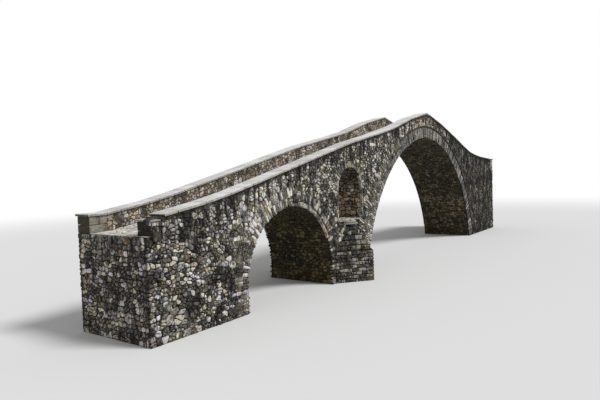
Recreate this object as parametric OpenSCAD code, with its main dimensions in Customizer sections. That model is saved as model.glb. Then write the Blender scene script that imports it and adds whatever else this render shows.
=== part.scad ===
// Humped stone footbridge: one wide pointed arch, one small round arch, and a narrow relief
// arch through the pier between them. Sizes are in millimetres.
// X runs along the bridge, Y across it and Z up. The origin is the middle of the footprint, at
// the level the masonry stands on. The near face looks towards -Y.

/* [Overall] */
// Width between the outer faces of the two side walls
bridge_w = 2950; // [2400:50:3600]
// Thickness of each side wall and of the parapet above it
wall_t = 520; // [400:10:650]
// Length of solid wall from the left end to the small arch
left_approach = 3660; // [2500:20:5000]
// Length of solid wall from the main arch to the right end
right_approach = 5250; // [4300:50:6500]
// Height to which both abutments are one solid mass
abutment_h = 1440; // [1000:20:2000]

/* [Main arch] */
// Clear span at the base
main_span = 13500; // [12000:100:15000]
// Height of the arch's point above the base
main_rise = 5940; // [5400:20:6500]
// Distance by which each side's arc is struck beyond the arch's axis
main_strike = 290; // [200:10:600]
// Depth of the ring of voussoirs that shows in each face
main_ring_d = 520; // [460:10:600]
// Thickness of the barrel between the two rings
main_vault_d = 440; // [380:10:460]
// Thickness of the drip course that follows the ring
hood_t = 50; // [30:5:80]
// Distance by which the drip course stands out of the wall
hood_out = 60; // [30:5:120]
// Distance left of the arch's axis at which the drip course starts
hood_left = 3300; // [2500:50:4200]
// Joint at the point, between the two halves of each ring
point_joint = 6; // [3:1:12]

// Width and height of a timber hole in the ring
putlog_w = 130; // [80:10:160]
// Depth of a timber hole
putlog_in = 220; // [100:10:400]

/* [Small arch] */
// Clear span, a half circle
small_span = 4780; // [4200:20:5200]
// Height of the springing above the base
small_spring = 770; // [500:10:1000]
// Depth of the ring of stones that shows in each face
small_ring_d = 550; // [480:10:620]
// Thickness of the barrel between the two rings
small_vault_d = 450; // [380:10:480]

/* [Pier and relief arch] */
// Width of the pier between the two arches at the base
pier_w = 2810; // [2600:10:3200]
// Clear width of the relief arch
relief_w = 1880; // [1400:20:2000]
// Height of the relief arch's sill, where the solid pier ends
sill_z = 2300; // [2240:10:2600]
// Height from the sill to the springing of the round head
relief_jamb = 1200; // [800:10:1300]
// Depth of the ring of stones round the head
relief_ring_d = 300; // [220:10:340]
// Thickness of the barrel between the two rings
relief_vault_d = 230; // [180:10:260]
// Distance from the pier's middle to the relief arch's axis
relief_shift = 100; // [0:10:200]
// Thickness of the sill slab in each face
sill_t = 70; // [40:5:120]
// Distance by which the sill slab stands out of the wall
sill_out = 60; // [20:5:120]
// Length of the sill slab into the wall
sill_in = 320; // [200:10:450]

/* [Cutwaters] */
// Half of the cutwater's width where it meets the pier
cut_half = 1350; // [1000:10:1380]
// Distance by which the cutwater's edge stands out of the pier
cut_out = 1050; // [700:10:1400]
// Height of the upright part
cut_h = 1200; // [900:10:1500]
// Half of the width of the cap's top course
cap_half = 450; // [300:10:700]
// Distance by which the cap's top course stands out of the pier
cap_out = 300; // [200:10:500]
// Number of courses in the stepped cap
cap_courses = 5; // [3:1:8]
// Height of the stone between that cap's slab and the relief arch's sill
cap_top_h = 70; // [50:5:250]
// Thickness of the slab that lies on the cap
cap_slab_t = 80; // [50:5:120]
// Distance by which that slab stands over the top course
cap_slab_over = 70; // [30:5:150]

/* [Crest line] */
// Height of the coping's bed at the left end
left_crest = 3240; // [3000:10:3500]
// Run from the left end to the foot of the steeper ramp
left_toe_run = 2500; // [1500:50:3300]
// Height of the coping's bed at that foot
left_toe_crest = 3540; // [3300:10:3800]
// Height of wall over the small arch's ring, at its axis
small_cover = 680; // [600:10:900]
// Height of wall over the relief arch's ring, at its axis
relief_cover = 600; // [560:10:800]
// Height of wall over the drip course at the main arch's axis
crown_cover = 620; // [600:10:800]
// Distance of the shoulder stations from the main arch's axis
shoulder_run = 2000; // [1500:50:2500]
// Height of wall over the drip course at the left shoulder station
left_shoulder_cover = 550; // [500:10:700]
// Height of wall over the drip course at the right shoulder station
right_shoulder_cover = 510; // [490:10:700]
// Distance of the haunch stations from the main arch's axis
haunch_run = 4200; // [3800:50:4500]
// Height of wall over the main ring at the left haunch station
left_haunch_cover = 1080; // [950:10:1300]
// Height of wall over the main ring at the right haunch station
right_haunch_cover = 980; // [900:10:1200]
// Height of the coping's bed over the main arch's right springing
right_spring_crest = 5260; // [5100:10:5500]
// Run from that springing to the foot of the right ramp
right_toe_run = 1750; // [1200:50:2500]
// Height of the coping's bed at that foot
right_toe_crest = 4980; // [4850:10:5100]
// Height of the coping's bed at the right end
right_crest = 4800; // [4500:10:4850]

/* [Deck, parapets and copings] */
// Height of the parapets above the deck
parapet_h = 470; // [400:10:500]
// Thickness of the deck's paving
paving_t = 80; // [50:5:90]
// Length of the wall over the main arch's right half that stands straight on the drip course
crown_right = 4400; // [4200:50:5000]
// Length of one coping slab
slab_l = 1000; // [700:50:1500]
// Thickness of the coping slabs
slab_t = 70; // [50:5:120]
// Distance by which the coping stands over each face of the parapet
slab_over = 70; // [30:5:100]
// Open joint between two coping slabs
slab_joint = 10; // [4:1:20]
// Distance by which the last slab stands over each end
slab_end = 40; // [20:10:150]

/* [End pillars] */
// Length of an end pillar along the bridge
pillar_l = 550; // [450:10:800]
// Distance by which a pillar stands out of each face of the parapet
pillar_out = 30; // [5:5:60]
// Distance of the near left pillar from the bridge's end
near_pillar_set = 150; // [60:10:180]
// Length of the near left pillar along the bridge
near_pillar_l = 260; // [200:10:270]
// Height by which the near left pillar, with its own cap, stays below the coping's bed
pillar_drop = 40; // [20:5:100]
// Height of that pillar's foot block above the deck
plinth_h = 130; // [80:10:200]
// Height by which the foot block hangs down over the wall's face
plinth_drop = 120; // [60:10:200]
// Distance by which the foot block stands out of the pillar's near face
plinth_out = 50; // [20:5:100]
// Thickness of that pillar's own cap
pillar_cap_t = 100; // [60:5:140]
// Distance by which that cap stands over the pillar
pillar_cap_over = 50; // [20:5:100]

/* [Hidden] */
$fn = 256;

// Places along the bridge
total_l = left_approach + small_span + pier_w + main_span + right_approach;
x_left = -total_l / 2;
x_right = total_l / 2;
small_x = x_left + left_approach + small_span / 2;
pier_x0 = small_x + small_span / 2;
pier_mid = pier_x0 + pier_w / 2;
relief_x = pier_mid + relief_shift;
main_x = pier_x0 + pier_w + main_span / 2;
crown_x0 = main_x - hood_left;
crown_x1 = main_x + crown_right;

// Places across the bridge
face_y = bridge_w / 2;
core_y = face_y - wall_t;

// The main arch's two arcs share this centre height and radius
main_cz = (pow(main_strike, 2) + pow(main_rise, 2) - pow(main_span / 2 + main_strike, 2))
    / (2 * main_rise);
main_r = norm([main_strike, main_rise - main_cz]);
small_r = small_span / 2;
relief_r = relief_w / 2;
relief_spring = sill_z + relief_jamb;

// Places of the timber holes: two near the point and two pairs on the haunches
putlogs = [[-1700, 60], [1700, 60], [-4150, 380], [4150, 380], [-4400, 60], [4400, 60]];

// Height of the main ring's back, grown by d, at distance dx from the arch's axis
function main_back(dx, d) = main_cz + sqrt(pow(main_r + d, 2) - pow(abs(dx) + main_strike, 2));

// The crest line is the bed of the copings. It runs straight between these stations.
hood_d = main_ring_d + hood_t;
stations = [
    [x_left + pillar_l, left_crest],
    [x_left + left_toe_run, left_toe_crest],
    [small_x, small_spring + small_r + small_ring_d + small_cover],
    [relief_x, relief_spring + relief_r + relief_ring_d + relief_cover],
    [main_x - haunch_run, main_back(haunch_run, main_ring_d) + left_haunch_cover],
    [main_x - shoulder_run, main_back(shoulder_run, hood_d) + left_shoulder_cover],
    [main_x, main_rise + hood_d + crown_cover],
    [main_x + shoulder_run, main_back(shoulder_run, hood_d) + right_shoulder_cover],
    [main_x + haunch_run, main_back(haunch_run, hood_d) + right_haunch_cover],
    [main_x + main_span / 2, right_spring_crest],
    [main_x + main_span / 2 + right_toe_run, right_toe_crest],
    [x_right - pillar_l, right_crest]];

// Every slab joint is a corner of the crest line, counted out from the crown. The line is level
// over the end pillars.
slab_first = ceil((x_left + pillar_l - main_x) / slab_l + 0.2);
slab_last = floor((x_right - pillar_l - main_x) / slab_l - 0.2);
joint_x = concat([x_left, x_left + pillar_l],
    [for (i = [slab_first : slab_last]) main_x + i * slab_l],
    [x_right - pillar_l, x_right]);
crest = [for (x = joint_x) [x, lookup(x, stations)]];
// The near coping lacks the slab over the left pillar, which has its own cap
near_first_slab = 1;
near_pillar_x = x_left + near_pillar_set;

// Points of the crest line from x0 to x1, lowered by drop
function crest_run(x0, x1, drop) = concat([[x0, lookup(x0, crest) - drop]],
    [for (p = crest) if (p[0] > x0 && p[0] < x1) [p[0], p[1] - drop]],
    [[x1, lookup(x1, crest) - drop]]);
function reversed(list) = [for (i = [len(list) - 1 : -1 : 0]) list[i]];

// An upright outline, drawn with its height as Y, made solid from y0 to y1
module across(y0, y1) {
    translate([0, y1, 0]) rotate([90, 0, 0]) linear_extrude(y1 - y0) children();
}

module in_near_wall() { across(-face_y, -core_y) children(); }
module in_far_wall() { across(core_y, face_y) children(); }
module in_core() { across(-core_y, core_y) children(); }

// Outline under the main arch's back, grown by d, down to the height foot. Each circle starts
// where its arc meets the base.
module main_outline(d, foot) {
    start = asin(-main_cz / (main_r + d));
    intersection() {
        translate([main_x - main_strike, main_cz]) rotate(start) circle(main_r + d);
        translate([main_x + main_strike, main_cz]) rotate(180 - start) circle(main_r + d);
        translate([main_x - main_span, foot]) square([2 * main_span, 2 * main_span]);
    }
}

// Outline of the small arch's half circle, grown by d
module small_outline(d) {
    intersection() {
        translate([small_x, small_spring]) circle(small_r + d);
        translate([small_x - small_span, small_spring]) square([2 * small_span, 2 * small_span]);
    }
}

// Outline of the relief arch's round head, grown by d
module relief_head(d) {
    intersection() {
        translate([relief_x, relief_spring]) circle(relief_r + d);
        translate([relief_x - relief_w, relief_spring]) square([2 * relief_w, 2 * relief_w]);
    }
}

// What the arches and their rings take out of the side walls
module face_cuts() {
    main_outline(main_ring_d, -small_spring);
    intersection() {
        main_outline(hood_d, -small_spring);
        translate([crown_x0, -small_spring]) square([2 * main_span, 2 * main_span]);
    }
    small_outline(small_ring_d);
    relief_head(relief_ring_d);
    translate([relief_x - relief_r, sill_z - 1]) square([relief_w, relief_jamb + 2]);
}

// What the arches and their barrels take out of the core
module core_cuts() {
    main_outline(main_vault_d, -small_spring);
    small_outline(small_vault_d);
    relief_head(relief_vault_d);
    translate([relief_x - relief_r, sill_z - 1]) square([relief_w, relief_jamb + 2]);
}

// A mass as wide as the bridge, cut to the rings in its faces and to the barrels in its core
module full_width() {
    in_near_wall() difference() { children(); face_cuts(); }
    in_core() difference() { children(); core_cuts(); }
    in_far_wall() difference() { children(); face_cuts(); }
}

module left_abutment() {
    color("#9c968a") full_width() union() {
        translate([x_left, 0]) square([left_approach, small_spring]);
        translate([x_left, small_spring]) square([small_x - x_left, abutment_h - small_spring]);
    }
}

module central_pier() {
    color("#8f8b83") full_width() union() {
        translate([pier_x0, 0]) square([main_x - pier_x0, small_spring]);
        translate([small_x, small_spring]) square([main_x - small_x, sill_z - small_spring]);
    }
}

module right_abutment() {
    color("#8f8b83") full_width() translate([main_x, 0]) square([x_right - main_x, abutment_h]);
}

module main_ring_outline(d) {
    difference() {
        main_outline(d, 0);
        main_outline(0, -small_spring);
    }
}

module main_arch_vault() { color("#6e665a") in_core() main_ring_outline(main_vault_d); }

// The two halves of a ring, which meet in a joint at the point
module main_ring_halves() {
    difference() {
        main_ring_outline(main_ring_d);
        translate([main_x - point_joint / 2, main_rise / 2]) square([point_joint, main_rise]);
    }
}

// A ring with the square holes that once held the centring's timbers. Each hole is at a
// distance along the bridge from the arch's axis and a height over the arch's underside.
module main_ring() {
    difference() {
        in_near_wall() main_ring_halves();
        for (hole = putlogs) {
            low = main_back(hole[0], 0) + hole[1];
            translate([main_x + hole[0] - putlog_w / 2, -face_y - 1, low])
                cube([putlog_w, putlog_in + 1, putlog_w]);
        }
    }
}

module main_arch_ring_near() { color("#a8a6a0") main_ring(); }
module main_arch_ring_far() { color("#a8a6a0") mirror([0, 1, 0]) main_ring(); }

module hood_outline() {
    intersection() {
        difference() {
            main_outline(hood_d, 0);
            main_outline(main_ring_d, -small_spring);
        }
        translate([crown_x0, 0]) square([2 * main_span, 2 * main_span]);
    }
}

module main_arch_hood_near() { color("#8a877f") across(-face_y - hood_out, -core_y) hood_outline(); }
module main_arch_hood_far() { color("#8a877f") across(core_y, face_y + hood_out) hood_outline(); }

module small_ring_outline(d) {
    difference() {
        small_outline(d);
        translate([small_x, small_spring]) circle(small_r);
    }
}

module small_arch_vault() { color("#6e665a") in_core() small_ring_outline(small_vault_d); }
module small_arch_ring_near() { color("#a39c8d") in_near_wall() small_ring_outline(small_ring_d); }
module small_arch_ring_far() { color("#a39c8d") in_far_wall() small_ring_outline(small_ring_d); }

module relief_ring_outline(d) {
    difference() {
        relief_head(d);
        translate([relief_x, relief_spring]) circle(relief_r);
    }
}

module relief_arch_vault() { color("#6e665a") in_core() relief_ring_outline(relief_vault_d); }
module relief_arch_ring_near() { color("#a39c8d") in_near_wall() relief_ring_outline(relief_ring_d); }
module relief_arch_ring_far() { color("#a39c8d") in_far_wall() relief_ring_outline(relief_ring_d); }

module relief_sills() {
    color("#b5b0a4") for (side = [0, 1]) mirror([0, side, 0])
        across(-face_y - sill_out, -face_y + sill_in)
            translate([relief_x - relief_r, sill_z]) square([relief_w, sill_t]);
}

// Outline of a stretch of side wall from x0 to x1, from the height foot up to the deck's line
module wall_outline(x0, x1, foot) {
    difference() {
        polygon(concat([[x1, foot], [x0, foot]], crest_run(x0, x1, parapet_h)));
        face_cuts();
    }
}

module wall_left() { wall_outline(x_left, small_x, abutment_h); }
module wall_pier() { wall_outline(small_x, relief_x, sill_z); }
module wall_haunch_left() { wall_outline(relief_x, crown_x0, sill_z); }
module wall_haunch_right() { wall_outline(crown_x1, x_right, abutment_h); }

module wall_left_near() { color("#a39d90") in_near_wall() wall_left(); }
module wall_left_far() { color("#a39d90") in_far_wall() wall_left(); }
module wall_pier_near() { color("#98948b") in_near_wall() wall_pier(); }
module wall_pier_far() { color("#98948b") in_far_wall() wall_pier(); }
module wall_haunch_left_near() { color("#98948b") in_near_wall() wall_haunch_left(); }
module wall_haunch_left_far() { color("#98948b") in_far_wall() wall_haunch_left(); }
module wall_haunch_right_near() { color("#8f8b83") in_near_wall() wall_haunch_right(); }
module wall_haunch_right_far() { color("#8f8b83") in_far_wall() wall_haunch_right(); }

// Outline of the fill from x0 to x1. Its foot is at foot0, and at foot1 beyond the middle
// of the arch at x_step.
module fill_outline(x0, x_step, x1, foot0, foot1) {
    difference() {
        polygon(concat([[x1, foot1], [x_step, foot1], [x_step, foot0], [x0, foot0]],
            crest_run(x0, x1, parapet_h + paving_t)));
        core_cuts();
    }
}

module fill_left() {
    color("#7d766a") in_core() fill_outline(x_left, small_x, relief_x, abutment_h, sill_z);
}

module fill_right() {
    color("#7d766a") in_core() fill_outline(relief_x, main_x, x_right, sill_z, abutment_h);
}

// Outline of a band of even height under the crest line
module band_outline(x0, x1, drop, height) {
    polygon(concat(reversed(crest_run(x0, x1, drop + height)), crest_run(x0, x1, drop)));
}

module deck_left() { color("#b0a99b") in_core() band_outline(x_left, main_x, parapet_h, paving_t); }
module deck_right() { color("#b0a99b") in_core() band_outline(main_x, x_right, parapet_h, paving_t); }

module parapet_left(x0) { band_outline(x0, crown_x0, 0, parapet_h); }
module parapet_right() { band_outline(crown_x1, x_right - pillar_l, 0, parapet_h); }

// Over the main arch's crown the parapet stands straight on the drip course
module parapet_crown() {
    difference() {
        polygon(concat([[crown_x1, main_rise / 2], [crown_x0, main_rise / 2]],
            crest_run(crown_x0, crown_x1, 0)));
        face_cuts();
    }
}

module parapet_left_near() {
    color("#a39d90") in_near_wall() parapet_left(near_pillar_x + near_pillar_l);
}
module parapet_left_far() { color("#a39d90") in_far_wall() parapet_left(x_left + pillar_l); }
module parapet_crown_near() { color("#a08f7c") in_near_wall() parapet_crown(); }
module parapet_crown_far() { color("#a08f7c") in_far_wall() parapet_crown(); }
module parapet_right_near() { color("#98948b") in_near_wall() parapet_right(); }
module parapet_right_far() { color("#98948b") in_far_wall() parapet_right(); }

// Coping slabs from the crest line's stretch number first to its last, one slab a stretch
module coping_slabs(first) {
    last = len(crest) - 2;
    for (i = [first : last]) {
        a = crest[i];
        b = crest[i + 1];
        x0 = i == 0 ? a[0] - slab_end : a[0] + slab_joint / 2;
        x1 = i == last ? b[0] + slab_end : b[0] - slab_joint / 2;
        slope = (b[1] - a[1]) / (b[0] - a[0]);
        z0 = a[1] + slope * (x0 - a[0]);
        z1 = a[1] + slope * (x1 - a[0]);
        polygon([[x0, z0], [x1, z1], [x1, z1 + slab_t], [x0, z0 + slab_t]]);
    }
}

module coping_near() {
    color("#cfcbd0") across(-face_y - slab_over, -core_y + slab_over) coping_slabs(near_first_slab);
}
module coping_far() {
    color("#cfcbd0") across(core_y - slab_over, face_y + slab_over) coping_slabs(0);
}

// An end pillar over the near wall, from x0, standing at the deck's level below the crest
module end_pillar(x0, length, crest_z, top_drop) {
    translate([x0, -face_y - pillar_out, crest_z - parapet_h])
        cube([length, wall_t + 2 * pillar_out, parapet_h - top_drop]);
}

// The near left pillar's foot is a wider block that also laps over the wall's face
module pillar_left_near() {
    foot = left_crest - parapet_h;
    reach = pillar_out + plinth_out;
    color("#8b877e") union() {
        end_pillar(near_pillar_x, near_pillar_l, left_crest, pillar_drop + pillar_cap_t);
        translate([near_pillar_x, -face_y - reach, foot])
            cube([near_pillar_l, reach + wall_t + pillar_out, plinth_h]);
        translate([near_pillar_x, -face_y - reach, foot - plinth_drop])
            cube([near_pillar_l, reach, plinth_drop + plinth_h]);
    }
}
module pillar_left_far() {
    color("#8b877e") mirror([0, 1, 0]) end_pillar(x_left, pillar_l, left_crest, 0);
}
module pillar_right_near() {
    color("#8b877e") end_pillar(x_right - pillar_l, pillar_l, right_crest, 0);
}
module pillar_right_far() {
    color("#8b877e") mirror([0, 1, 0]) end_pillar(x_right - pillar_l, pillar_l, right_crest, 0);
}

module pillar_cap_left_near() {
    reach = pillar_out + pillar_cap_over;
    color("#c4c0bd")
        translate([near_pillar_x - pillar_cap_over, -face_y - reach,
            left_crest - pillar_drop - pillar_cap_t])
            cube([near_pillar_l + pillar_cap_over, wall_t + 2 * reach, pillar_cap_t]);
}

// A three-sided course against the near face, half as wide as 2 * half, with its edge at out
module cutwater_course(half, out, z, h) {
    translate([pier_mid, -face_y, z])
        linear_extrude(h) polygon([[-half, 0], [0, -out], [half, 0]]);
}

module cutwater() { cutwater_course(cut_half, cut_out, 0, cut_h); }

// The cap steps in course by course, and carries a slab and the stone below the sill
module cutwater_cap() {
    step_half = (cut_half - cap_half) / cap_courses;
    step_out = (cut_out - cap_out) / cap_courses;
    slab_z = sill_z - cap_top_h - cap_slab_t;
    course_h = (slab_z - cut_h) / cap_courses;
    for (i = [1 : cap_courses])
        cutwater_course(cut_half - i * step_half, cut_out - i * step_out,
            cut_h + (i - 1) * course_h, course_h);
    cutwater_course(cap_half + cap_slab_over, cap_out + cap_slab_over, slab_z, cap_slab_t);
    cutwater_course(cap_half, cap_out, slab_z + cap_slab_t, cap_top_h);
}

module cutwater_near() { color("#77746d") cutwater(); }
module cutwater_far() { color("#77746d") mirror([0, 1, 0]) cutwater(); }
module cutwater_cap_near() { color("#77746d") cutwater_cap(); }
module cutwater_cap_far() { color("#77746d") mirror([0, 1, 0]) cutwater_cap(); }

left_abutment();
central_pier();
right_abutment();
main_arch_vault();
main_arch_ring_near();
main_arch_ring_far();
main_arch_hood_near();
main_arch_hood_far();
small_arch_vault();
small_arch_ring_near();
small_arch_ring_far();
relief_arch_vault();
relief_arch_ring_near();
relief_arch_ring_far();
relief_sills();
wall_left_near();
wall_left_far();
wall_pier_near();
wall_pier_far();
wall_haunch_left_near();
wall_haunch_left_far();
wall_haunch_right_near();
wall_haunch_right_far();
fill_left();
fill_right();
deck_left();
deck_right();
parapet_left_near();
parapet_left_far();
parapet_crown_near();
parapet_crown_far();
parapet_right_near();
parapet_right_far();
coping_near();
coping_far();
pillar_left_near();
pillar_left_far();
pillar_right_near();
pillar_right_far();
pillar_cap_left_near();
cutwater_near();
cutwater_far();
cutwater_cap_near();
cutwater_cap_far();
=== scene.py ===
"""Lays the stones of a humped stone footbridge over its solid frame, and sets the stage.

The frame's walls, arches and fill stay as the bed of mortar. The stones are separate closed
shapes that stand a little proud of it, joined into one mesh for each stretch of masonry.
Sizes are in metres. X runs along the bridge, Y across it and Z up. The near face looks to -Y.
"""

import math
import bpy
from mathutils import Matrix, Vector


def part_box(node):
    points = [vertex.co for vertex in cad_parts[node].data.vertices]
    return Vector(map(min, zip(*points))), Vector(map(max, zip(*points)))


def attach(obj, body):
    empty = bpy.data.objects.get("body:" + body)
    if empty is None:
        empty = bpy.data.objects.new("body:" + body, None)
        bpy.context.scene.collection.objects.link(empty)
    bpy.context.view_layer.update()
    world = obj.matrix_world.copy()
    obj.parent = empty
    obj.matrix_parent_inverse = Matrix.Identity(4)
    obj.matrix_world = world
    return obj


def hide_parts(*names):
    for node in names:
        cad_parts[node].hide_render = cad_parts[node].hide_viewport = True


bl_info = {
    "name": "Rubble Footbridge Dressing",
    "version": (1, 0, 0),
    "blender": (4, 5, 0),
    "location": "View3D > Sidebar > Footbridge",
    "description": "Lays rubble, voussoirs, copings and cobbles over a stone footbridge's frame",
    "category": "Object",
}

import bmesh
import bpy
import numpy as np
from bpy.props import FloatProperty, FloatVectorProperty, IntProperty, PointerProperty
from mathutils import Matrix, Vector, noise
from mathutils.kdtree import KDTree

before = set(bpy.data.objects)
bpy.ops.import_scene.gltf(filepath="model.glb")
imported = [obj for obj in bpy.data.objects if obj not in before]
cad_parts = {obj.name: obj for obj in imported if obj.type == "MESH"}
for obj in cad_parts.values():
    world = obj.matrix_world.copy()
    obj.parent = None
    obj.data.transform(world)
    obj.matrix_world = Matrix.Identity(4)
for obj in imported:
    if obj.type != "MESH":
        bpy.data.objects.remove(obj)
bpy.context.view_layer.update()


def middle_x(node):
    """The middle of a node along the bridge"""
    low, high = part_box(node)
    return (low.x + high.x) / 2


# Faces, ends and levels of the frame
FACE = -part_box("wall_left_near")[0].y
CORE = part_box("fill_left")[1].y
X_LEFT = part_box("left_abutment")[0].x
X_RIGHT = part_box("right_abutment")[1].x
FAR_PILLAR_LOW, FAR_PILLAR_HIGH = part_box("pillar_left_far")
NEAR_PILLAR_LOW, NEAR_PILLAR_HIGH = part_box("pillar_left_near")
RIGHT_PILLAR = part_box("pillar_right_far")[0].x
PARAPET = FAR_PILLAR_HIGH.z - FAR_PILLAR_LOW.z
PIER_X = middle_x("cutwater_near")
MAIN_X = middle_x("main_arch_vault")
CROWN_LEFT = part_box("main_arch_hood_near")[0].x
HOOD_OUT = -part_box("main_arch_hood_near")[0].y - FACE
SMALL_X = middle_x("small_arch_vault")
SMALL_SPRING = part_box("small_arch_vault")[0].z
RELIEF_X = middle_x("relief_sills")
RELIEF_R = RELIEF_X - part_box("relief_sills")[0].x
RELIEF_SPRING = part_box("relief_arch_vault")[0].z
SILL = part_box("central_pier")[1].z

NEAR, FAR = -1, 1
SIDES = ((NEAR, "near"), (FAR, "far"))
# Levels under and over the whole bridge
BELOW_ALL, ABOVE_ALL = -9.0, 9.0
# The stones keep this clear of the ground and of other pieces
CLEAR = 0.004
# How far the stones of a wall hang over an arch's edge
OVERHANG = 0.014
# Width of the worn edge of rubble
WORN_EDGE = 0.016
# The timber holes, by their distance from the main arch's axis and height over its underside
HOLES = ((-1.7, 0.06), (1.7, 0.06), (-4.15, 0.38), (4.15, 0.38), (-4.4, 0.06), (4.4, 0.06))
# Width of a timber hole, and the half width that the stones leave open for it
HOLE = 0.13
HOLE_HALF = HOLE / 2 + 0.012
# A hole cuts the stones whose middle lies this far from it, and leaves out those too close to it
HOLE_REACH, HOLE_LEAST = 0.3, 0.015
# The cutwater hides the wall up to this distance from its middle and up to this height
BEHIND_CUTWATER = 1.15
# Joints were pointed anew within a distance of a place left of the small arch, and up to a height
# over the main arch's underside on its left haunch
FRESH_X, FRESH_REACH, FRESH_HAUNCH = SMALL_X - 1.6, 1.25, 0.7
# The ring along the main arch's left haunch: the cosine of the spoke at which it starts, and its depth
HAUNCH_FROM, HAUNCH_RING = -0.80, 0.30
# The small arch's dressed edge: the cosine of a spoke, and the share of its full depth from there on
SMALL_RING = ((0.0, 0.6), (0.12, 1.0), (0.5, 0.8), (0.7, 0.55), (0.9, 0.0))
# The quoins of the relief arch's jambs: the cosine of a spoke, and their depth from there on
RELIEF_RING = ((-1.0, 0.075), (-0.9, 0.0), (0.75, 0.09))
# Holes in a row along the small arch's underside: their height, their width and their places along Y
ROW_HOLES = (2.50, 0.13, (-0.98, -0.66, -0.36, -0.12))


def screen(red, green, blue):
    """A colour as a screen shows it, from 0 to 255, as the linear colour of a shader"""
    return tuple(((c / 255 + 0.055) / 1.055) ** 2.4 for c in (red, green, blue)) + (1.0,)


WHITE = (1.0, 1.0, 1.0, 1.0)
GREY = (0.5, 0.5, 0.5, 1.0)
# Tints of cooler and of warmer places in the masonry
COOL_CAST, WARM_CAST = (0.93, 0.94, 1.10, 1.0), (1.07, 1.0, 0.76, 1.0)
OCHRE = screen(150, 132, 84)


class ArchSizes(bpy.types.PropertyGroup):
    """Sizes of the three arches that their boxes in the frame don't give"""

    main_span: FloatProperty(
        name="Main span", description="Clear span at the base", default=13.5, unit="LENGTH")
    main_rise: FloatProperty(
        name="Main rise", description="Height of the arch's point", default=5.94, unit="LENGTH")
    main_strike: FloatProperty(
        name="Main strike", description="Offset of each arc's centre", default=0.29, unit="LENGTH")
    main_ring: FloatProperty(
        name="Main ring", description="Depth of the voussoirs", default=0.52, unit="LENGTH")
    hood: FloatProperty(
        name="Drip course", description="Thickness of the drip course", default=0.05, unit="LENGTH")
    small_radius: FloatProperty(
        name="Small radius", description="Radius of the small arch", default=2.39, unit="LENGTH")
    smooth_ring: FloatProperty(
        name="Smooth ring", description="Depth of the small ring's right half", default=0.16, unit="LENGTH")


class RubbleSizes(bpy.types.PropertyGroup):
    """Sizes of the stones and their joints"""

    length: FloatProperty(
        name="Stone length", description="Usual length of a wall stone",
        default=0.152, min=0.1, max=0.6, unit="LENGTH")
    course: FloatProperty(
        name="Stone height", description="Usual height of a wall stone",
        default=0.102, min=0.06, max=0.4, unit="LENGTH")
    joint: FloatProperty(
        name="Joint", description="Width of a joint between wall stones",
        default=0.015, min=0.004, max=0.06, unit="LENGTH")
    low: FloatProperty(
        name="Least height", description="Least height of a stone over the mortar",
        default=0.012, min=0.002, max=0.05, unit="LENGTH")
    high: FloatProperty(
        name="Greatest height", description="Greatest height of a stone over the mortar",
        default=0.044, min=0.005, max=0.08, unit="LENGTH")
    root: FloatProperty(
        name="Root", description="Depth to which a stone runs into the mortar",
        default=0.07, min=0.01, max=0.3, unit="LENGTH")
    cobble: FloatProperty(
        name="Cobble", description="Usual width of a cobble on the deck",
        default=0.135, min=0.05, max=0.3, unit="LENGTH")
    seed: IntProperty(name="Seed", description="Start of every random draw", default=7)


class StageSettings(bpy.types.PropertyGroup):
    """Where the camera stands and how bright the studio is"""

    focal: FloatProperty(name="Focal length", description="Lens on a 36 mm sensor, in mm", default=31.2)
    place: FloatVectorProperty(
        name="Camera place", description="Where the camera stands",
        default=(-23.085, -11.97, 4.18), subtype="TRANSLATION")
    yaw: FloatProperty(
        name="Yaw", description="Turn of the view from +Y towards +X", default=0.947, subtype="ANGLE")
    pitch: FloatProperty(
        name="Pitch", description="Tilt of the view above the horizon", default=-0.048, subtype="ANGLE")
    roll: FloatProperty(
        name="Roll", description="Turn of the view about its own line", default=-0.033, subtype="ANGLE")
    key: FloatProperty(name="Key light", description="Strength of the broad key light", default=2.3)
    fill: FloatProperty(name="Fill light", description="Strength of the even fill light", default=0.4)


def arch_sizes():
    """The arches' sizes in use"""
    return bpy.context.scene.footbridge_arches


def stone_sizes():
    """The stones' sizes in use"""
    return bpy.context.scene.footbridge_rubble


def draws(own):
    """Random draws that start from the seed and from a piece's own number"""
    return np.random.default_rng(stone_sizes().seed + own)


# The bed of the copings


def coping_slabs(node):
    """The slabs of a coping node as (x0, z0, x1, z1) of each bed"""
    low = {}
    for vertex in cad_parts[node].data.vertices:
        x = round(vertex.co.x, 4)
        low[x] = min(low.get(x, vertex.co.z), vertex.co.z)
    xs = sorted(low)
    return [(a, low[a], b, low[b]) for a, b in zip(xs[0::2], xs[1::2])]


SLABS = coping_slabs("coping_far")
CREST_X = np.array([x for slab in SLABS for x in slab[0::2]])
CREST_Z = np.array([z for slab in SLABS for z in slab[1::2]])


def crest(x):
    """Height of the copings' bed at x"""
    return np.interp(x, CREST_X, CREST_Z)


def under_line(x, drop):
    """The half plane below the copings' bed at x, lowered by drop"""
    slope = float(crest(x + 0.15) - crest(x - 0.15)) / 0.3
    return -slope, 1.0, float(crest(x)) - slope * x - drop


# Lines under the arches


class Curve:
    """A line under an arch, by its length from the left foot, with the way into the masonry"""

    STEP = 0.01

    def __init__(self, rows):
        self.x, self.z, self.nx, self.nz = np.array(rows).T
        steps = np.hypot(np.diff(self.x), np.diff(self.z))
        self.s = np.concatenate([[0.0], np.cumsum(steps)])
        self.length = self.s[-1]

    def at(self, s):
        return [np.interp(s, self.s, values) for values in (self.x, self.z, self.nx, self.nz)]

    def spoke(self, cosine, right):
        """Length along the line to the spoke with a cosine, in its left or its right half"""
        half = len(self.nx) // 2
        part = slice(half, None) if right else slice(None, half)
        return float(np.interp(cosine, self.nx[part], self.s[part]))

    def nearest(self, x, z):
        """Length along the line and distance from it of a point"""
        away = np.hypot(self.x - x, self.z - z)
        k = int(away.argmin())
        return self.s[k], away[k]


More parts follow.
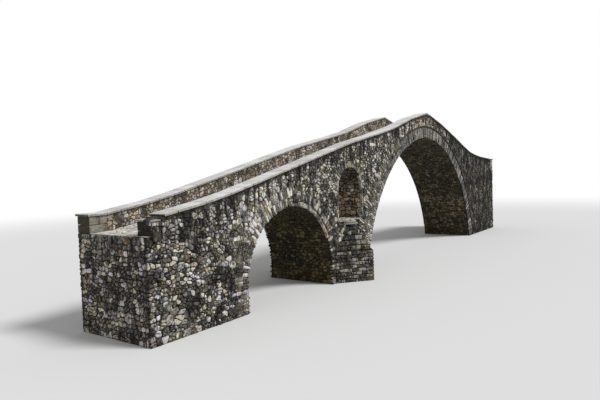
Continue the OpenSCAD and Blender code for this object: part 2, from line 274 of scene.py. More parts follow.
def arc(x, z, radius, start, end):
    """Points along an arc from the angle start to end, each with the direction outwards"""
    count = int(abs(end - start) * radius / Curve.STEP) + 2
    return [(x + radius * math.cos(a), z + radius * math.sin(a), math.cos(a), math.sin(a))
            for a in np.linspace(start, end, count)]


def main_centre():
    """Height of the main arch's two centres, and the radius of its underside"""
    arches = arch_sizes()
    half = arches.main_span / 2 + arches.main_strike
    z = (arches.main_strike ** 2 + arches.main_rise ** 2 - half ** 2) / (2 * arches.main_rise)
    return z, math.hypot(arches.main_strike, arches.main_rise - z)


def main_curve():
    """The line under the main arch. Close to its point the joints turn upright."""
    z, radius = main_centre()
    foot = math.asin(-z / radius)
    strike = arch_sizes().main_strike
    point = math.acos(strike / radius)
    left = arc(MAIN_X + strike, z, radius, math.pi - foot, math.pi - point)
    right = arc(MAIN_X - strike, z, radius, point, foot)
    curve = Curve(left + right[1:])
    curve.nx *= np.clip(np.abs(curve.s - curve.length / 2) / 0.3, 0, 1)
    return curve


def round_curve(x, z, radius, foot):
    """A half circle over two jambs that stand at the height foot"""
    left = [(x - radius, foot, -1.0, 0.0), (x - radius, z - Curve.STEP, -1.0, 0.0)]
    right = [(x + radius, z - Curve.STEP, 1.0, 0.0), (x + radius, foot, 1.0, 0.0)]
    return Curve(left + arc(x, z, radius, math.pi, 0.0) + right)


# Ways from a flat sheet of stones to the masonry


def on_face(side):
    """Sheet of a side wall, by x and z"""
    return lambda u, v, h: (u, side * (FACE + h), v)


def on_ring(curve, side):
    """Sheet of a ring in a side wall, by length along the arch and depth into the masonry"""
    def place(u, v, h):
        x, z, nx, nz = curve.at(u)
        return x + v * nx, side * (FACE + h), np.maximum(z + v * nz, CLEAR)
    return place


def under_arch(curve):
    """Sheet of a barrel's underside, by length along the arch and y"""
    def place(u, v, h):
        x, z, nx, nz = curve.at(u)
        return x - h * nx, v, np.maximum(z - h * nz, CLEAR)
    return place


def on_line(x0, y0, x1, y1, side, sink):
    """Sheet of an upright face between two points, by length and z. y0 and y1 are distances
    from the bridge's axis, and the bed of the stones lies sink behind the line."""
    length = math.hypot(x1 - x0, y1 - y0)
    dx, dy = (x1 - x0) / length, (y1 - y0) / length

    def place(u, v, h):
        out = h - sink
        return x0 + u * dx - out * dy, side * (y0 + u * dy + out * dx), v
    return place


# Outlines of stones, laid out on a flat sheet


def clip(outline, a, b, c):
    """The part of a convex outline where a * u + b * v <= c"""
    kept = []
    pu, pv = outline[-1]
    before = a * pu + b * pv - c
    for u, v in outline:
        here = a * u + b * v - c
        if (here <= 0) != (before <= 0):
            share = before / (before - here)
            kept.append((pu + share * (u - pu), pv + share * (v - pv)))
        if here <= 0:
            kept.append((u, v))
        pu, pv, before = u, v, here
    return kept


def box_limits(u0, u1, v0, v1):
    """Half planes of an upright box"""
    return [(-1, 0, -u0), (1, 0, u1), (0, -1, -v0), (0, 1, v1)]


def inside_box(sites, u0, u1, v0, v1, margin):
    """The sites that lie in a box, at least the margin from its sides"""
    return [(u, v) for u, v in sites
            if u0 + margin < u < u1 - margin and v0 + margin < v < v1 - margin]


def lying(stretch, joint):
    """Stones that lie along the sheet's first direction, a joint's width apart"""
    return lambda u, v: (1.0, 0.0, stretch, joint)


def box_cells(sites, box, margin, stretch, joint, foot=0.0, head=0.0):
    """Outlines of lying stones that fill a box, from the sites at least the margin inside it.
    The stones keep foot clear of its bottom and head clear of its top."""
    u0, u1, v0, v1 = box
    held = box_limits(u0, u1, v0 + foot, v1 - head)
    return stone_cells(inside_box(sites, *box, margin), lambda u, v: held, lying(stretch, joint))


def site_tree(sites):
    """The sites, set out for a quick search of neighbours"""
    tree = KDTree(len(sites))
    for k, site in enumerate(sites):
        tree.insert((*site, 0.0), k)
    tree.balance()
    return tree


def stone_cells(sites, limits, grain, reach=0.5, neighbours=25):
    """Outlines of stones that fill a sheet round their sites. limits gives the half planes that
    hold the stone at a place, or None where there is none. grain gives the direction in which
    stones lie there, how much longer they are that way, and the width of the joint."""
    held = [(site, limits(*site)) for site in sites]
    held = [(site, planes) for site, planes in held if planes is not None]
    tree = site_tree([site for site, planes in held])
    cells = []
    for (u, v), planes in held:
        outline = [(u - reach, v - reach), (u + reach, v - reach),
                   (u + reach, v + reach), (u - reach, v + reach)]
        for plane in planes:
            outline = clip(outline, *plane) if len(outline) > 2 else []
        for place, k, distance in tree.find_n((u, v, 0.0), neighbours):
            if distance < 0.01 or len(outline) < 3:
                continue
            du, dv = place[0] - u, place[1] - v
            mu, mv = u + du / 2, v + dv / 2
            lu, lv, stretch, joint = grain(mu, mv)
            along = (du * lu + dv * lv) * (1 / stretch ** 2 - 1)
            a, b = du + along * lu, dv + along * lv
            size = math.hypot(a, b)
            a, b = a / size, b / size
            outline = clip(outline, a, b, a * mu + b * mv - joint / 2)
        cells.append(outline)
    return cells


def trimmed(outlines, least=0.03, short=0.014):
    """The outlines without their very short sides, and without slivers"""
    kept = []
    for outline in outlines:
        corners = [p for p, q in zip(outline, outline[1:] + outline[:1]) if math.dist(p, q) > short]
        if len(corners) < 3:
            continue
        points = np.array(corners)
        sides = np.roll(points, -1, 0) - points
        out = points.mean(0) - points
        inner = np.abs(sides[:, 0] * out[:, 1] - sides[:, 1] * out[:, 0]) / np.hypot(*sides.T)
        if 2 * inner.min() >= least:
            kept.append(corners)
    return kept


def softened(outlines, rng, sharp=-0.42, low=0.12, high=0.32):
    """The outlines with their sharp corners cut back by a random share of the sides. sharp is
    the cosine of the widest angle that is cut."""
    soft = []
    for outline in outlines:
        corners = []
        for k, (u, v) in enumerate(outline):
            before, after = outline[k - 1], outline[(k + 1) % len(outline)]
            bu, bv, au, av = before[0] - u, before[1] - v, after[0] - u, after[1] - v
            if (bu * au + bv * av) / (math.hypot(bu, bv) * math.hypot(au, av)) < sharp:
                corners.append((u, v))
                continue
            for du, dv in ((bu, bv), (au, av)):
                share = rng.uniform(low, high)
                corners.append((u + share * du, v + share * dv))
        soft.append(corners)
    return soft


def rubble_sites(rng, u0, u1, v0, v1, length, course, wander=0.26, block=2.3):
    """Places of stones in rows of uneven height, in stretches that don't line up"""
    sites = []
    for start in np.arange(u0, u1, block):
        end = min(start + block, u1)
        v = v0 - rng.uniform(0, course)
        while v < v1:
            height = course * rng.uniform(0.55, 1.55)
            u = start - rng.uniform(0, length)
            while u < end:
                step = length * rng.lognormal(0.0, 0.42) * (0.7 + 0.3 * height / course)
                du, dv = rng.uniform(-wander, wander, 2)
                sites.append((u + step * (0.5 + du), v + height * (0.5 + dv)))
                u += step
            v += height
    return sites


def mixed_sizes(rng, sites, big=0.05, reach=0.16, chips=0.12):
    """The sites without the neighbours of a few big stones, and with chips beside some others"""
    tree = site_tree(sites)
    dropped = set()
    for k in np.flatnonzero(rng.random(len(sites)) < big).tolist():
        if k not in dropped:
            found = tree.find_range((*sites[k], 0.0), reach)
            dropped.update(other for place, other, away in found if other != k)
    kept = [site for k, site in enumerate(sites) if k not in dropped]
    for u, v in kept[:]:
        if rng.random() < chips:
            angle = rng.uniform(0, 2 * math.pi)
            kept.append((u + 0.085 * math.cos(angle), v + 0.065 * math.sin(angle)))
    return kept


def edge_stones(rng, s0, s1, thick, low, high, joint, slant, split=0.0):
    """Outlines of stones on edge, side by side from s0 to s1. thick is the range of their
    thickness, and low and high give the ends of the stone at a place. A share of the stones
    is split in two across."""
    stones = []
    s = s0
    while s < s1 - 0.02:
        end = s + rng.uniform(*thick)
        if end > s1 - thick[0] / 2:
            end = s1
        lean = rng.uniform(-slant, slant, 4)
        a, b = s + joint / 2, end - joint / 2
        bottom, top = low((s + end) / 2), high((s + end) / 2)
        cuts = [bottom, top]
        if rng.random() < split:
            middle = bottom + (top - bottom) * rng.uniform(0.35, 0.65)
            cuts = [bottom, middle - joint / 2, middle + joint / 2, top]
        for z0, z1 in zip(cuts[0::2], cuts[1::2]):
            stones.append([(a + lean[0] / 3, z0), (b + lean[1] / 3, z0),
                           (b + lean[2] / 3, z1), (a + lean[3] / 3, z1)])
        s = end
    return stones


def coursed_stones(rng, u0, u1, v0, v1, lengths, joint):
    """Outlines of the squared stones of one course"""
    stones = []
    u = u0
    while u < u1 - 0.02:
        end = u + rng.uniform(*lengths)
        if end > u1 - lengths[0] / 2:
            end = u1
        jitter = rng.uniform(0, 0.008, 4)
        stones.append([(u + joint / 2, v0 + jitter[0]), (end - joint / 2, v0 + jitter[1]),
                       (end - joint / 2, v1 - joint - jitter[2]), (u + joint / 2, v1 - joint - jitter[3])])
        u = end
    return stones


# Closed stones raised from their outlines


class Masonry:
    """Gathers stones as arrays and makes one mesh of them. Its draws start from its own number."""

    MARKS = ("tone", "warm", "worn", "moss")

    def __init__(self, own):
        self.rng = draws(own)
        self.points = []
        self.faces = []
        self.marks = {mark: [] for mark in self.MARKS}
        self.count = 0

    def lay(self, outlines, place, proud, root, edge, tint, flip=False, rough=0.004, tilt=0.05, clean=0.0):
        """Raises each outline into a closed stone. place turns sheet positions and heights into
        points. proud is the range of the height over the sheet, root the depth below it and
        edge the width of the worn edge. tint gives the stones' marks from their places. clean
        is how far their sides are free of dirt."""
        groups = {}
        for outline in outlines:
            groups.setdefault(len(outline), []).append(outline)
        for corners in sorted(groups):
            flat = np.array(groups[corners])
            self.lay_alike(flat, place, proud, root, edge, tint, flip, rough, tilt, clean)

    def lay_alike(self, flat, place, proud, root, edge, tint, flip, rough, tilt, clean):
        """Raises outlines with the same number of corners"""
        rng = self.rng
        stones, corners = flat.shape[:2]
        centre = flat.mean(1, keepdims=True)
        side = np.roll(flat, -1, 1) - flat
        length = np.maximum(np.hypot(side[..., 0], side[..., 1]), 1e-6)
        inward = np.stack([-side[..., 1], side[..., 0]], -1) / length[..., None]
        reach = ((centre - flat) * inward).sum(-1).min(1)
        before = np.roll(inward, 1, 1)
        mitre = (inward + before) / np.maximum(1 + (inward * before).sum(-1), 0.5)[..., None]

        height = rng.uniform(proud[0], proud[1], stones)
        lean = rng.normal(0, tilt, (stones, 1, 2))
        worn_edge = np.minimum(edge, 0.42 * reach)
        shoulder = flat + mitre * (worn_edge * 0.25)[:, None, None]
        top = flat + mitre * worn_edge[:, None, None] + rng.normal(0, rough / 2, flat.shape)
        top_height = height[:, None] + (lean * (top - centre)).sum(-1)
        top_height += rng.normal(0, rough / 2, top_height.shape)
        top_height = np.clip(top_height, CLEAR, 1.25 * proud[1])
        shoulder_height = top_height - np.minimum(worn_edge * 0.7, height * 0.7)[:, None]
        middle_height = height + rough / 2

        sheet = np.concatenate([flat, shoulder, top, centre], 1)
        heights = np.concatenate([np.full((stones, corners), -root), shoulder_height, top_height,
                                  middle_height[:, None]], 1)
        parts = place(sheet[..., 0].ravel(), sheet[..., 1].ravel(), heights.ravel())
        points = np.stack(np.broadcast_arrays(*parts), -1)

        per_stone = 3 * corners + 1
        ring = np.arange(corners)
        after = (ring + 1) % corners
        walls = np.concatenate([
            np.stack([ring, after, after + corners, ring + corners], -1),
            np.stack([ring + corners, after + corners, after + 2 * corners, ring + 2 * corners], -1)])
        fan = np.stack([ring + 2 * corners, after + 2 * corners, np.full(corners, 3 * corners)], -1)
        starts = self.count + np.arange(stones) * per_stone
        for pattern in (walls, fan, ring[::-1][None]):
            if flip:
                pattern = pattern[:, ::-1]
            found = (starts[:, None, None] + pattern).reshape(-1, pattern.shape[1])
            self.faces.extend(found.tolist())

        tone, warm, moss = tint(rng, points.reshape(stones, per_stone, 3))
        worn = np.concatenate([np.full(corners, clean), np.full(corners, max(0.35, clean)),
                               np.full(corners, 0.85), [1.0]])
        for mark, values in (("tone", tone), ("warm", warm), ("moss", moss)):
            self.marks[mark].append(np.repeat(values, per_stone))
        self.marks["worn"].append(np.tile(worn, stones))
        self.points.append(points)
        self.count += stones * per_stone

    def build(self, name, look, replaced=()):
        """One object of all the stones laid so far"""
        mesh = bpy.data.meshes.new(name)
        mesh.from_pydata(np.concatenate(self.points).tolist(), [], self.faces)
        for mark, values in self.marks.items():
            layer = mesh.attributes.new(mark, "FLOAT", "POINT")
            layer.data.foreach_set("value", np.concatenate(values).astype(np.float32))
        return finished(mesh, look, replaced)


def new_object(name, data):
    """An object in the scene"""
    made = bpy.data.objects.new(name, data)
    bpy.context.scene.collection.objects.link(made)
    return made


def new_mesh(name, bm):
    """A mesh with the contents of a bmesh, which ends with it"""
    mesh = bpy.data.meshes.new(name)
    bm.to_mesh(mesh)
    bm.free()
    return mesh


def finished(mesh, look, replaced=()):
    """Puts a new piece on the bridge, with its material"""
    piece = new_object(mesh.name, mesh)
    mesh.shade_smooth()
    mesh.set_sharp_from_angle(angle=math.radians(38))
    mesh.materials.append(material(look))
    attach(piece, "root")
    if replaced:
        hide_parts(*replaced)
    return piece


def drawn(rng, low, high, count):
    """Even draws from low to high, held between 0 and 1"""
    return np.clip(rng.uniform(low, high, count), 0, 1)


def ramp(value, start, length):
    """0 at the start and 1 a length further on, which may be negative"""
    return np.clip((value - start) / length, 0, 1)


def even_tint(low=0.0, high=1.0, warm=0.0, moss=0.0):
    """Marks for stones that vary alike everywhere. warm and moss are their greatest shares."""
    def tint(rng, points):
        count = len(points)
        return rng.uniform(low, high, count), drawn(rng, -warm, warm, count), rng.uniform(0, 1, count) * moss
    return tint


def over_haunch(x, z):
    """Height of a place over the underside of the main arch's left half"""
    centre, radius = main_centre()
    return np.hypot(x - MAIN_X - arch_sizes().main_strike, z - centre) - radius


def wall_tint(rng, points):
    """Marks for the side walls: uneven and warm over the crown, paler low on the left and along
    the main arch's left haunch, dark and mossy beyond the crown, and mossy round the relief arch"""
    count = len(points)
    x, z = points[:, -1, 0], points[:, -1, 2]
    over_arch = over_haunch(x, z)
    haunch = np.clip(1.2 - over_arch / 0.9, 0, 1) * (x < CROWN_LEFT)
    over_crown = np.clip(1.3 - np.abs(x - MAIN_X + 0.3) / 2.2, 0, 1) * ramp(z, 5.7, 0.6)
    low_left = ramp(x, -11.6, 0.8) * ramp(x, -8.6, -1.5)
    old_left = ramp(x, -11.2, -0.8)
    beyond = ramp(x, 4.0, 2.0)
    round_relief = np.clip(1.3 - np.hypot(x - RELIEF_X, z - RELIEF_SPRING - 0.4) / 1.35, 0, 1)
    # A row of stones over the haunch's fan, painted darkest as the shade of gaps there
    gap = (np.abs(over_arch - 0.42) < 0.10) & ((x * 2.2) % 1 < 0.3) & (np.abs(x - MAIN_X + 4.2) < 1.7)

    tone = 0.5 + 1.4 * (rng.beta(0.8, 1.0, count) - 0.5)
    tone = tone * (1 - 0.6 * haunch) + 0.55 * haunch
    tone += 0.32 * low_left + 0.05 * old_left - 0.42 * beyond
    tone = np.where(over_crown > 0.4, rng.beta(0.42, 0.42, count) + 0.08, tone)
    warm = np.clip(rng.uniform(-1.0, 0.3, count) + 0.85 * over_crown, 0, 0.85)
    moss = round_relief * rng.uniform(-0.6, 0.8, count) + beyond * rng.uniform(-0.3, 0.6, count)
    tone = np.where(gap, 0.0, tone)
    moss = np.where(gap, 0.4, moss)
    return np.clip(tone, -0.15, 1.2), warm, np.clip(moss, 0, 1)


# Blocks


def bevel_edges(bm, edge):
    """Wears all edges round"""
    bmesh.ops.bevel(bm, geom=bm.edges[:], offset=edge, offset_type="OFFSET", segments=2,
                    profile=0.5, affect="EDGES", material=-1)


def rough_block(into, low, high, edge, rough, cuts=(1, 1, 1), slope=0.0):
    """Adds a dressed block between two corners, with worn edges and an uneven skin, which
    nowhere stands out of the box. Its bed climbs along X by the slope."""
    low, high = Vector(low), Vector(high)
    middle, half = (low + high) / 2, (high - low) / 2
    bm = bmesh.new()
    verts = bmesh.ops.create_cube(bm, size=1.0)["verts"]
    bmesh.ops.scale(bm, vec=high - low, verts=verts)
    bmesh.ops.translate(bm, vec=middle, verts=verts)
    bevel_edges(bm, edge)
    for axis, count in enumerate(cuts):
        normal = Vector((axis == 0, axis == 1, axis == 2))
        for k in range(1, count):
            bmesh.ops.bisect_plane(bm, geom=bm.verts[:] + bm.edges[:] + bm.faces[:],
                                   plane_co=low + normal * (2 * half[axis] * k / count), plane_no=normal)
    wear_block(bm, middle, half, rough)
    for vert in bm.verts:
        vert.co.z += slope * (vert.co.x - low.x)
    add_to(into, bm)


def wear_block(bm, middle, half, rough):
    """Sinks each face of a block unevenly"""
    noise.seed_set(stone_sizes().seed)
    for vert in bm.verts:
        broad = noise.noise_vector(vert.co * 2.7)
        fine = noise.noise_vector(vert.co * 11.0)
        for axis in range(3):
            away = (vert.co[axis] - middle[axis]) / half[axis]
            vert.co[axis] -= away * rough * (0.5 + 0.33 * broad[axis] + 0.17 * fine[axis])


def add_to(into, bm):
    """Moves the contents of one bmesh into another"""
    mesh = new_mesh("block", bm)
    into.from_mesh(mesh)
    bpy.data.meshes.remove(mesh)


def cut_prism(into, half, out, side, z0, z1, edge, rough):
    """Adds a three-sided block against a face of the pier"""
    bm = bmesh.new()
    corners = [bm.verts.new((PIER_X + x, side * (FACE + y), z0))
               for x, y in ((-half, 0), (0, out), (half, 0))]
    foot = bm.faces.new(corners)
    made = bmesh.ops.extrude_face_region(bm, geom=[foot])["geom"]
    top = [g for g in made if isinstance(g, bmesh.types.BMVert)]
    bmesh.ops.translate(bm, vec=(0, 0, z1 - z0), verts=top)
    bmesh.ops.recalc_face_normals(bm, faces=bm.faces[:])
    if edge:
        bevel_edges(bm, edge)
        middle = Vector((PIER_X, side * FACE, (z0 + z1) / 2))
        wear_block(bm, middle, Vector((half, out, (z1 - z0) / 2)), rough)
    add_to(into, bm)


def block_piece(name, bm, look, replaced=()):
    """Turns a bmesh of blocks into a finished piece"""
    bmesh.ops.recalc_face_normals(bm, faces=bm.faces[:])
    return finished(new_mesh(name, bm), look, replaced)


# Materials


class Graph:
    """Short ways to add nodes to one shader tree"""

    def __init__(self, tree):
        self.tree = tree

    def add(self, kind, **settings):
        node = self.tree.nodes.new(kind)
        for name, value in settings.items():
            setattr(node, name, value)
        return node

    def feed(self, socket, value):
        if isinstance(value, bpy.types.NodeSocket):
            self.tree.links.new(value, socket)
        else:
            socket.default_value = value

    def math(self, operation, a, b=0.0, clamp=False):
        node = self.add("ShaderNodeMath", operation=operation, use_clamp=clamp)
        self.feed(node.inputs[0], a)
        self.feed(node.inputs[1], b)
        return node.outputs[0]

    def by(self, a, b):
        return self.math("MULTIPLY", a, b)

    def plus(self, a, b):
        return self.math("ADD", a, b)

    def minus(self, a, b):
        return self.math("SUBTRACT", a, b)

    def most(self, a, b):
        """The larger of two numbers"""
        return self.math("MAXIMUM", a, b)

    def size(self, a):
        """A number without its sign"""
        return self.math("ABSOLUTE", a)

    def span(self, value, low, high, to_low=0.0, to_high=1.0, smooth=True):
        """value from low to high, turned into to_low to to_high"""
        kind = "SMOOTHSTEP" if smooth else "LINEAR"
        node = self.add("ShaderNodeMapRange", interpolation_type=kind)
        for name, given in (("Value", value), ("From Min", low), ("From Max", high),
                            ("To Min", to_low), ("To Max", to_high)):
            self.feed(node.inputs[name], given)
        return node.outputs[0]

    def mix(self, share, a, b):
        node = self.add("ShaderNodeMix", data_type="RGBA", clamp_factor=True)
        self.feed(node.inputs["Factor"], share)
        self.feed(node.inputs[6], a)
        self.feed(node.inputs[7], b)
        return node.outputs[2]

    def times(self, colour, tint):
        """A colour multiplied by a tint"""
        node = self.add("ShaderNodeMix", data_type="RGBA", blend_type="MULTIPLY")
        node.inputs["Factor"].default_value = 1.0
        self.feed(node.inputs[6], colour)
        self.feed(node.inputs[7], tint)
        return node.outputs[2]

    def noise(self, place, scale, detail=4.0, rough=0.55, shift=None, squeeze=None):
        """Noise at a place, which a shift parts from other noise and a squeeze draws out"""
        if shift or squeeze:
            mapping = self.add("ShaderNodeMapping")
            self.feed(mapping.inputs["Vector"], place)
            mapping.inputs["Scale"].default_value = squeeze or (1, 1, 1)
            mapping.inputs["Location"].default_value = shift or (0, 0, 0)
            place = mapping.outputs[0]
        node = self.add("ShaderNodeTexNoise")
        self.feed(node.inputs["Vector"], place)
        for name, given in (("Scale", scale), ("Detail", detail), ("Roughness", rough)):
            self.feed(node.inputs[name], given)
        return node.outputs[0]

    def mark(self, name):
        return self.add("ShaderNodeAttribute", attribute_name=name).outputs["Fac"]

    def place(self):
        return self.add("ShaderNodeTexCoord").outputs["Object"]

    def apart(self, vector):
        """The three parts of a vector"""
        node = self.add("ShaderNodeSeparateXYZ")
        self.feed(node.inputs[0], vector)
        return node.outputs

    def facing(self):
        """The three parts of the way that the surface faces"""
        return self.apart(self.add("ShaderNodeNewGeometry").outputs["True Normal"])

    def group(self, name, **given):
        node = self.add("ShaderNodeGroup", node_tree=bpy.data.node_groups[name])
        for key, value in given.items():
            self.feed(node.inputs[key.replace("_", " ").capitalize()], value)
        return node.outputs


def new_group(name, inputs, outputs):
    """An empty shader group with its sockets. Gives its graph, inputs and outputs."""
    kinds = {float: "NodeSocketFloat", tuple: "NodeSocketColor"}
    tree = bpy.data.node_groups.new(name, "ShaderNodeTree")
    for label, default in inputs:
        socket = tree.interface.new_socket(label, in_out="INPUT", socket_type=kinds[type(default)])
        socket.default_value = default
    for label, kind in outputs:
        tree.interface.new_socket(label, in_out="OUTPUT", socket_type=kinds[kind])
    graph = Graph(tree)
    return graph, graph.add("NodeGroupInput").outputs, graph.add("NodeGroupOutput").inputs


def grain_group():
    """Patches over the masonry, mottling, lichen and pits within a stone, places where the
    joints are pointed with pale mortar, and the height of the fine grain"""
    g, given, out = new_group("Stone grain", [("Size", 1.0)], [
        ("Patches", float), ("Mottle", float), ("Lichen", float), ("Pits", float),
        ("Stains", float), ("Pointing", float), ("Ochre", float), ("Height", float)])
    place = g.place()

    def sized(scale):
        return g.math("DIVIDE", scale, given["Size"])

    broad = g.noise(place, 0.9, 3.0)
    middle = g.noise(place, sized(16.0), 6.0, 0.66)
    fine = g.noise(place, sized(75.0), 5.0, 0.65)
    spots = g.noise(place, sized(23.0), 5.0, 0.6, shift=(7, 3, 5))
    pits = g.noise(place, sized(27.0), 4.0, 0.6, shift=(2, 9, 4))
    ochre = g.noise(place, 8.0, 4.0, 0.62, shift=(4, 6, 2))
    g.feed(out["Patches"], g.span(broad, 0.35, 0.65))
    g.feed(out["Mottle"], g.span(middle, 0.32, 0.68))
    g.feed(out["Lichen"], g.span(spots, 0.52, 0.62))
    g.feed(out["Pits"], g.span(pits, 0.56, 0.64))
    g.feed(out["Ochre"], g.span(ochre, 0.56, 0.66))
    g.feed(out["Height"], g.plus(g.by(middle, 0.6), g.by(fine, 0.4)))

    fresh = repointed(g, place)
    stains = g.noise(place, 3.0, 5.0, 0.66, shift=(9, 4, 1), squeeze=(1, 1, 0.6))
    g.feed(out["Stains"], g.by(g.span(stains, 0.50, 0.59), g.span(fresh, 0.0, 1.0, 1.0, 0.75)))
    joints = g.noise(place, 4.2, 3.0, 0.6, shift=(5, 1, 8))
    joints = g.plus(g.by(joints, 0.7), g.by(broad, 0.3))
    joints = g.plus(joints, g.by(fresh, 0.18))
    beyond = g.span(g.apart(place)["X"], MAIN_X + 0.5, MAIN_X + 2.0)
    joints = g.minus(joints, g.by(beyond, 0.12))
    gaps = g.noise(place, 7.0, 4.0, 0.6, shift=(6, 8, 3))
    g.feed(out["Pointing"], g.by(g.span(joints, 0.51, 0.59), g.span(gaps, 0.52, 0.58, 1.0, 0.0)))


def repointed(g, place):
    """How far a place was pointed anew: left of the small arch, and along the main arch's haunch"""
    parts = g.apart(place)
    centre, radius = main_centre()
    du = g.minus(parts["X"], MAIN_X + arch_sizes().main_strike)
    dv = g.minus(parts["Z"], centre)
    away = g.math("SQRT", g.plus(g.by(du, du), g.by(dv, dv)))
    haunch = g.span(away, radius + FRESH_HAUNCH - 0.35, radius + FRESH_HAUNCH + 0.3, 1.0, 0.0)
    haunch = g.by(haunch, g.span(parts["X"], MAIN_X + 0.4, MAIN_X + 1.4, 1.0, 0.0))
    by_small = g.size(g.minus(parts["X"], FRESH_X))
    return g.most(g.span(by_small, 0.9, 1.5, 1.0, 0.0), haunch)


def crest_height(g, x):
    """Height of the copings' bed at x, by a curve through the slabs' ends"""
    top = float(CREST_Z.max())
    node = g.add("ShaderNodeFloatCurve")
    g.feed(node.inputs["Value"], g.span(x, float(CREST_X[0]), float(CREST_X[-1]), smooth=False))
    shares = (CREST_X - CREST_X[0]) / (CREST_X[-1] - CREST_X[0])
    line = node.mapping.curves[0]
    for share, z in zip(shares[1:-1:2], CREST_Z[1:-1:2]):
        line.points.new(float(share), float(z) / top)
    line.points[0].location = (0.0, CREST_Z[0] / top)
    line.points[len(line.points) - 1].location = (1.0, CREST_Z[-1] / top)
    for point in line.points:
        point.handle_type = "VECTOR"
    node.mapping.update()
    return g.by(node.outputs[0], top)


def streak_and_shade_group():
    """Dark and pale fingers that the rain has drawn down from the copings, and a painted shadow on the wall
    just under them
    """
    g, given, out = new_group("Rain streaks and coping shade", [("Reach", 1.0)],
                              [("Dark", float), ("Pale", float), ("Grime", float)])
    place = g.place()
    parts = g.apart(place)
    x = parts["X"]
    drop = g.minus(crest_height(g, x), parts["Z"])
    beyond = g.span(x, MAIN_X, MAIN_X + 1.5)

    wander = g.noise(place, 1.3, 2.0, 0.5, squeeze=(1, 1, 0.15))
    turns = g.plus(g.by(x, 14.0), g.by(wander, 22.0))
    rough = g.noise(place, 11.0, 3.0, 0.6, squeeze=(1, 1, 0.3))
    columns = g.plus(g.math("SINE", turns), g.by(g.minus(rough, 0.5), 3.2))
    lengths = g.noise(place, 2.6, 2.0, shift=(3, 8, 2), squeeze=(1, 1, 0.0))
    reach = g.by(given["Reach"], g.span(lengths, 0.35, 0.65, 0.3, 1.25))
    dark = g.by(g.span(columns, 0.05, 0.55), g.span(drop, g.by(reach, 0.55), reach, 1.0, 0.0))
    # A painted shadow on the wall just under the copings, deeper beyond the crown
    under = g.span(drop, 0.06, g.plus(0.18, g.by(beyond, 0.1)), 1.0, 0.0)
    g.feed(out["Dark"], g.most(dark, under))

    pale = g.noise(place, 6.0, 3.0, 0.55, shift=(3, 5, 1), squeeze=(1, 1, 0.09))
    pale = g.by(g.span(pale, 0.50, 0.60), g.span(drop, 0.1, g.by(reach, 1.6), 1.0, 0.0))
    g.feed(out["Pale"], g.by(pale, g.span(beyond, 0.0, 1.0, 1.0, 1.7)))

    old_left = g.span(x, -11.7, -11.2, 1.0, 0.0)
    over_pier = g.by(g.span(x, -8.8, -7.6), g.span(x, -5.6, -3.6, 1.0, 0.0))
    grime = g.most(g.by(old_left, 0.3), g.by(over_pier, 0.45))
    grime = g.most(grime, g.by(beyond, 0.95))
    blots = g.noise(place, 2.6, 5.0, 0.65, squeeze=(1, 1, 0.6))
    g.feed(out["Grime"], g.by(grime, g.span(blots, 0.42, 0.54)))


def colour_group():
    """A stone's own colour from its marks, cooler in some places and warmer in others"""
    g, given, out = new_group("Stone colour", [
        ("Tone", 0.5), ("Warm", 0.0), ("Cast", 1.0), ("Mottle", 0.5), ("Patches", 0.5), ("Dark stone", GREY),
        ("Stone", GREY), ("Pale stone", GREY), ("Warm stone", GREY)], [("Colour", tuple)])
    tone = g.plus(given["Tone"], g.by(g.minus(given["Mottle"], 0.5), 0.85))
    tone = g.plus(tone, g.by(g.minus(given["Patches"], 0.5), 0.30))
    colour = g.mix(g.span(tone, 0.0, 0.5), given["Dark stone"], given["Stone"])
    colour = g.mix(g.span(tone, 0.5, 1.05), colour, given["Pale stone"])
    warm = g.by(given["Warm"], g.span(given["Mottle"], 0.0, 1.0, 0.6, 1.0))
    cast = g.span(g.noise(g.place(), 4.5, 3.0, 0.6, shift=(8, 2, 6)), 0.40, 0.60)
    cast = g.mix(given["Cast"], WHITE, g.mix(cast, COOL_CAST, WARM_CAST))
    g.feed(out["Colour"], g.times(g.mix(warm, colour, given["Warm stone"]), cast))


def weather_group():
    """Lichen, pits, streaks with the painted shadow under the copings, moss, and dirt or smeared mortar along
    a stone's edges
    """
    shares = ("Lichen", "Pits", "Stains", "Pointing", "Dark", "Pale", "Grime", "Moss", "Ochre")
    colours = ("Dirt", "Smear", "Lichen colour", "Moss colour")
    g, given, out = new_group("Weathering", [
        ("Colour", GREY), ("Worn", 1.0), ("Mottle", 0.5), *((label, 0.0) for label in shares),
        *((label, GREY) for label in colours)], [("Colour", tuple)])
    colour = g.mix(given["Lichen"], given["Colour"], given["Lichen colour"])
    colour = g.mix(given["Ochre"], colour, OCHRE)
    colour = g.mix(g.most(given["Pits"], given["Stains"]), colour, given["Dirt"])
    colour = g.mix(given["Pale"], colour, given["Lichen colour"])
    moss = g.math("MULTIPLY", given["Moss"], g.span(given["Mottle"], 0.15, 0.75), clamp=True)
    colour = g.mix(moss, colour, given["Moss colour"])
    colour = g.mix(given["Grime"], colour, given["Dirt"])
    edge = g.mix(given["Pointing"], given["Dirt"], given["Smear"])
    colour = g.mix(g.span(given["Worn"], 0.0, 0.6, 0.9, 0.0), colour, edge)
    g.feed(out["Colour"], g.mix(given["Dark"], colour, given["Dirt"]))


def empty_material(name):
    """A new material with its graph and its shader"""
    made = bpy.data.materials.new(name)
    made.use_nodes = True
    return made, Graph(made.node_tree), made.node_tree.nodes["Principled BSDF"]


def rough_skin(g, shader, height, strength, distance):
    """Gives a shader a rough skin"""
    shader.inputs["Specular IOR Level"].default_value = 0.3
    bump = g.add("ShaderNodeBump")
    bump.inputs["Strength"].default_value = strength
    bump.inputs["Distance"].default_value = distance
    g.feed(bump.inputs["Height"], height)
    g.feed(shader.inputs["Normal"], bump.outputs["Normal"])


def finish_stone(g, shader, grain, colour):
    """Gives a shader a stone's colour, and its dull and rough skin"""
    g.feed(shader.inputs["Base Color"], colour)
    g.feed(shader.inputs["Roughness"], g.span(grain["Mottle"], 0.0, 1.0, 0.92, 0.8))
    rough_skin(g, shader, grain["Height"], 0.5, 0.006)


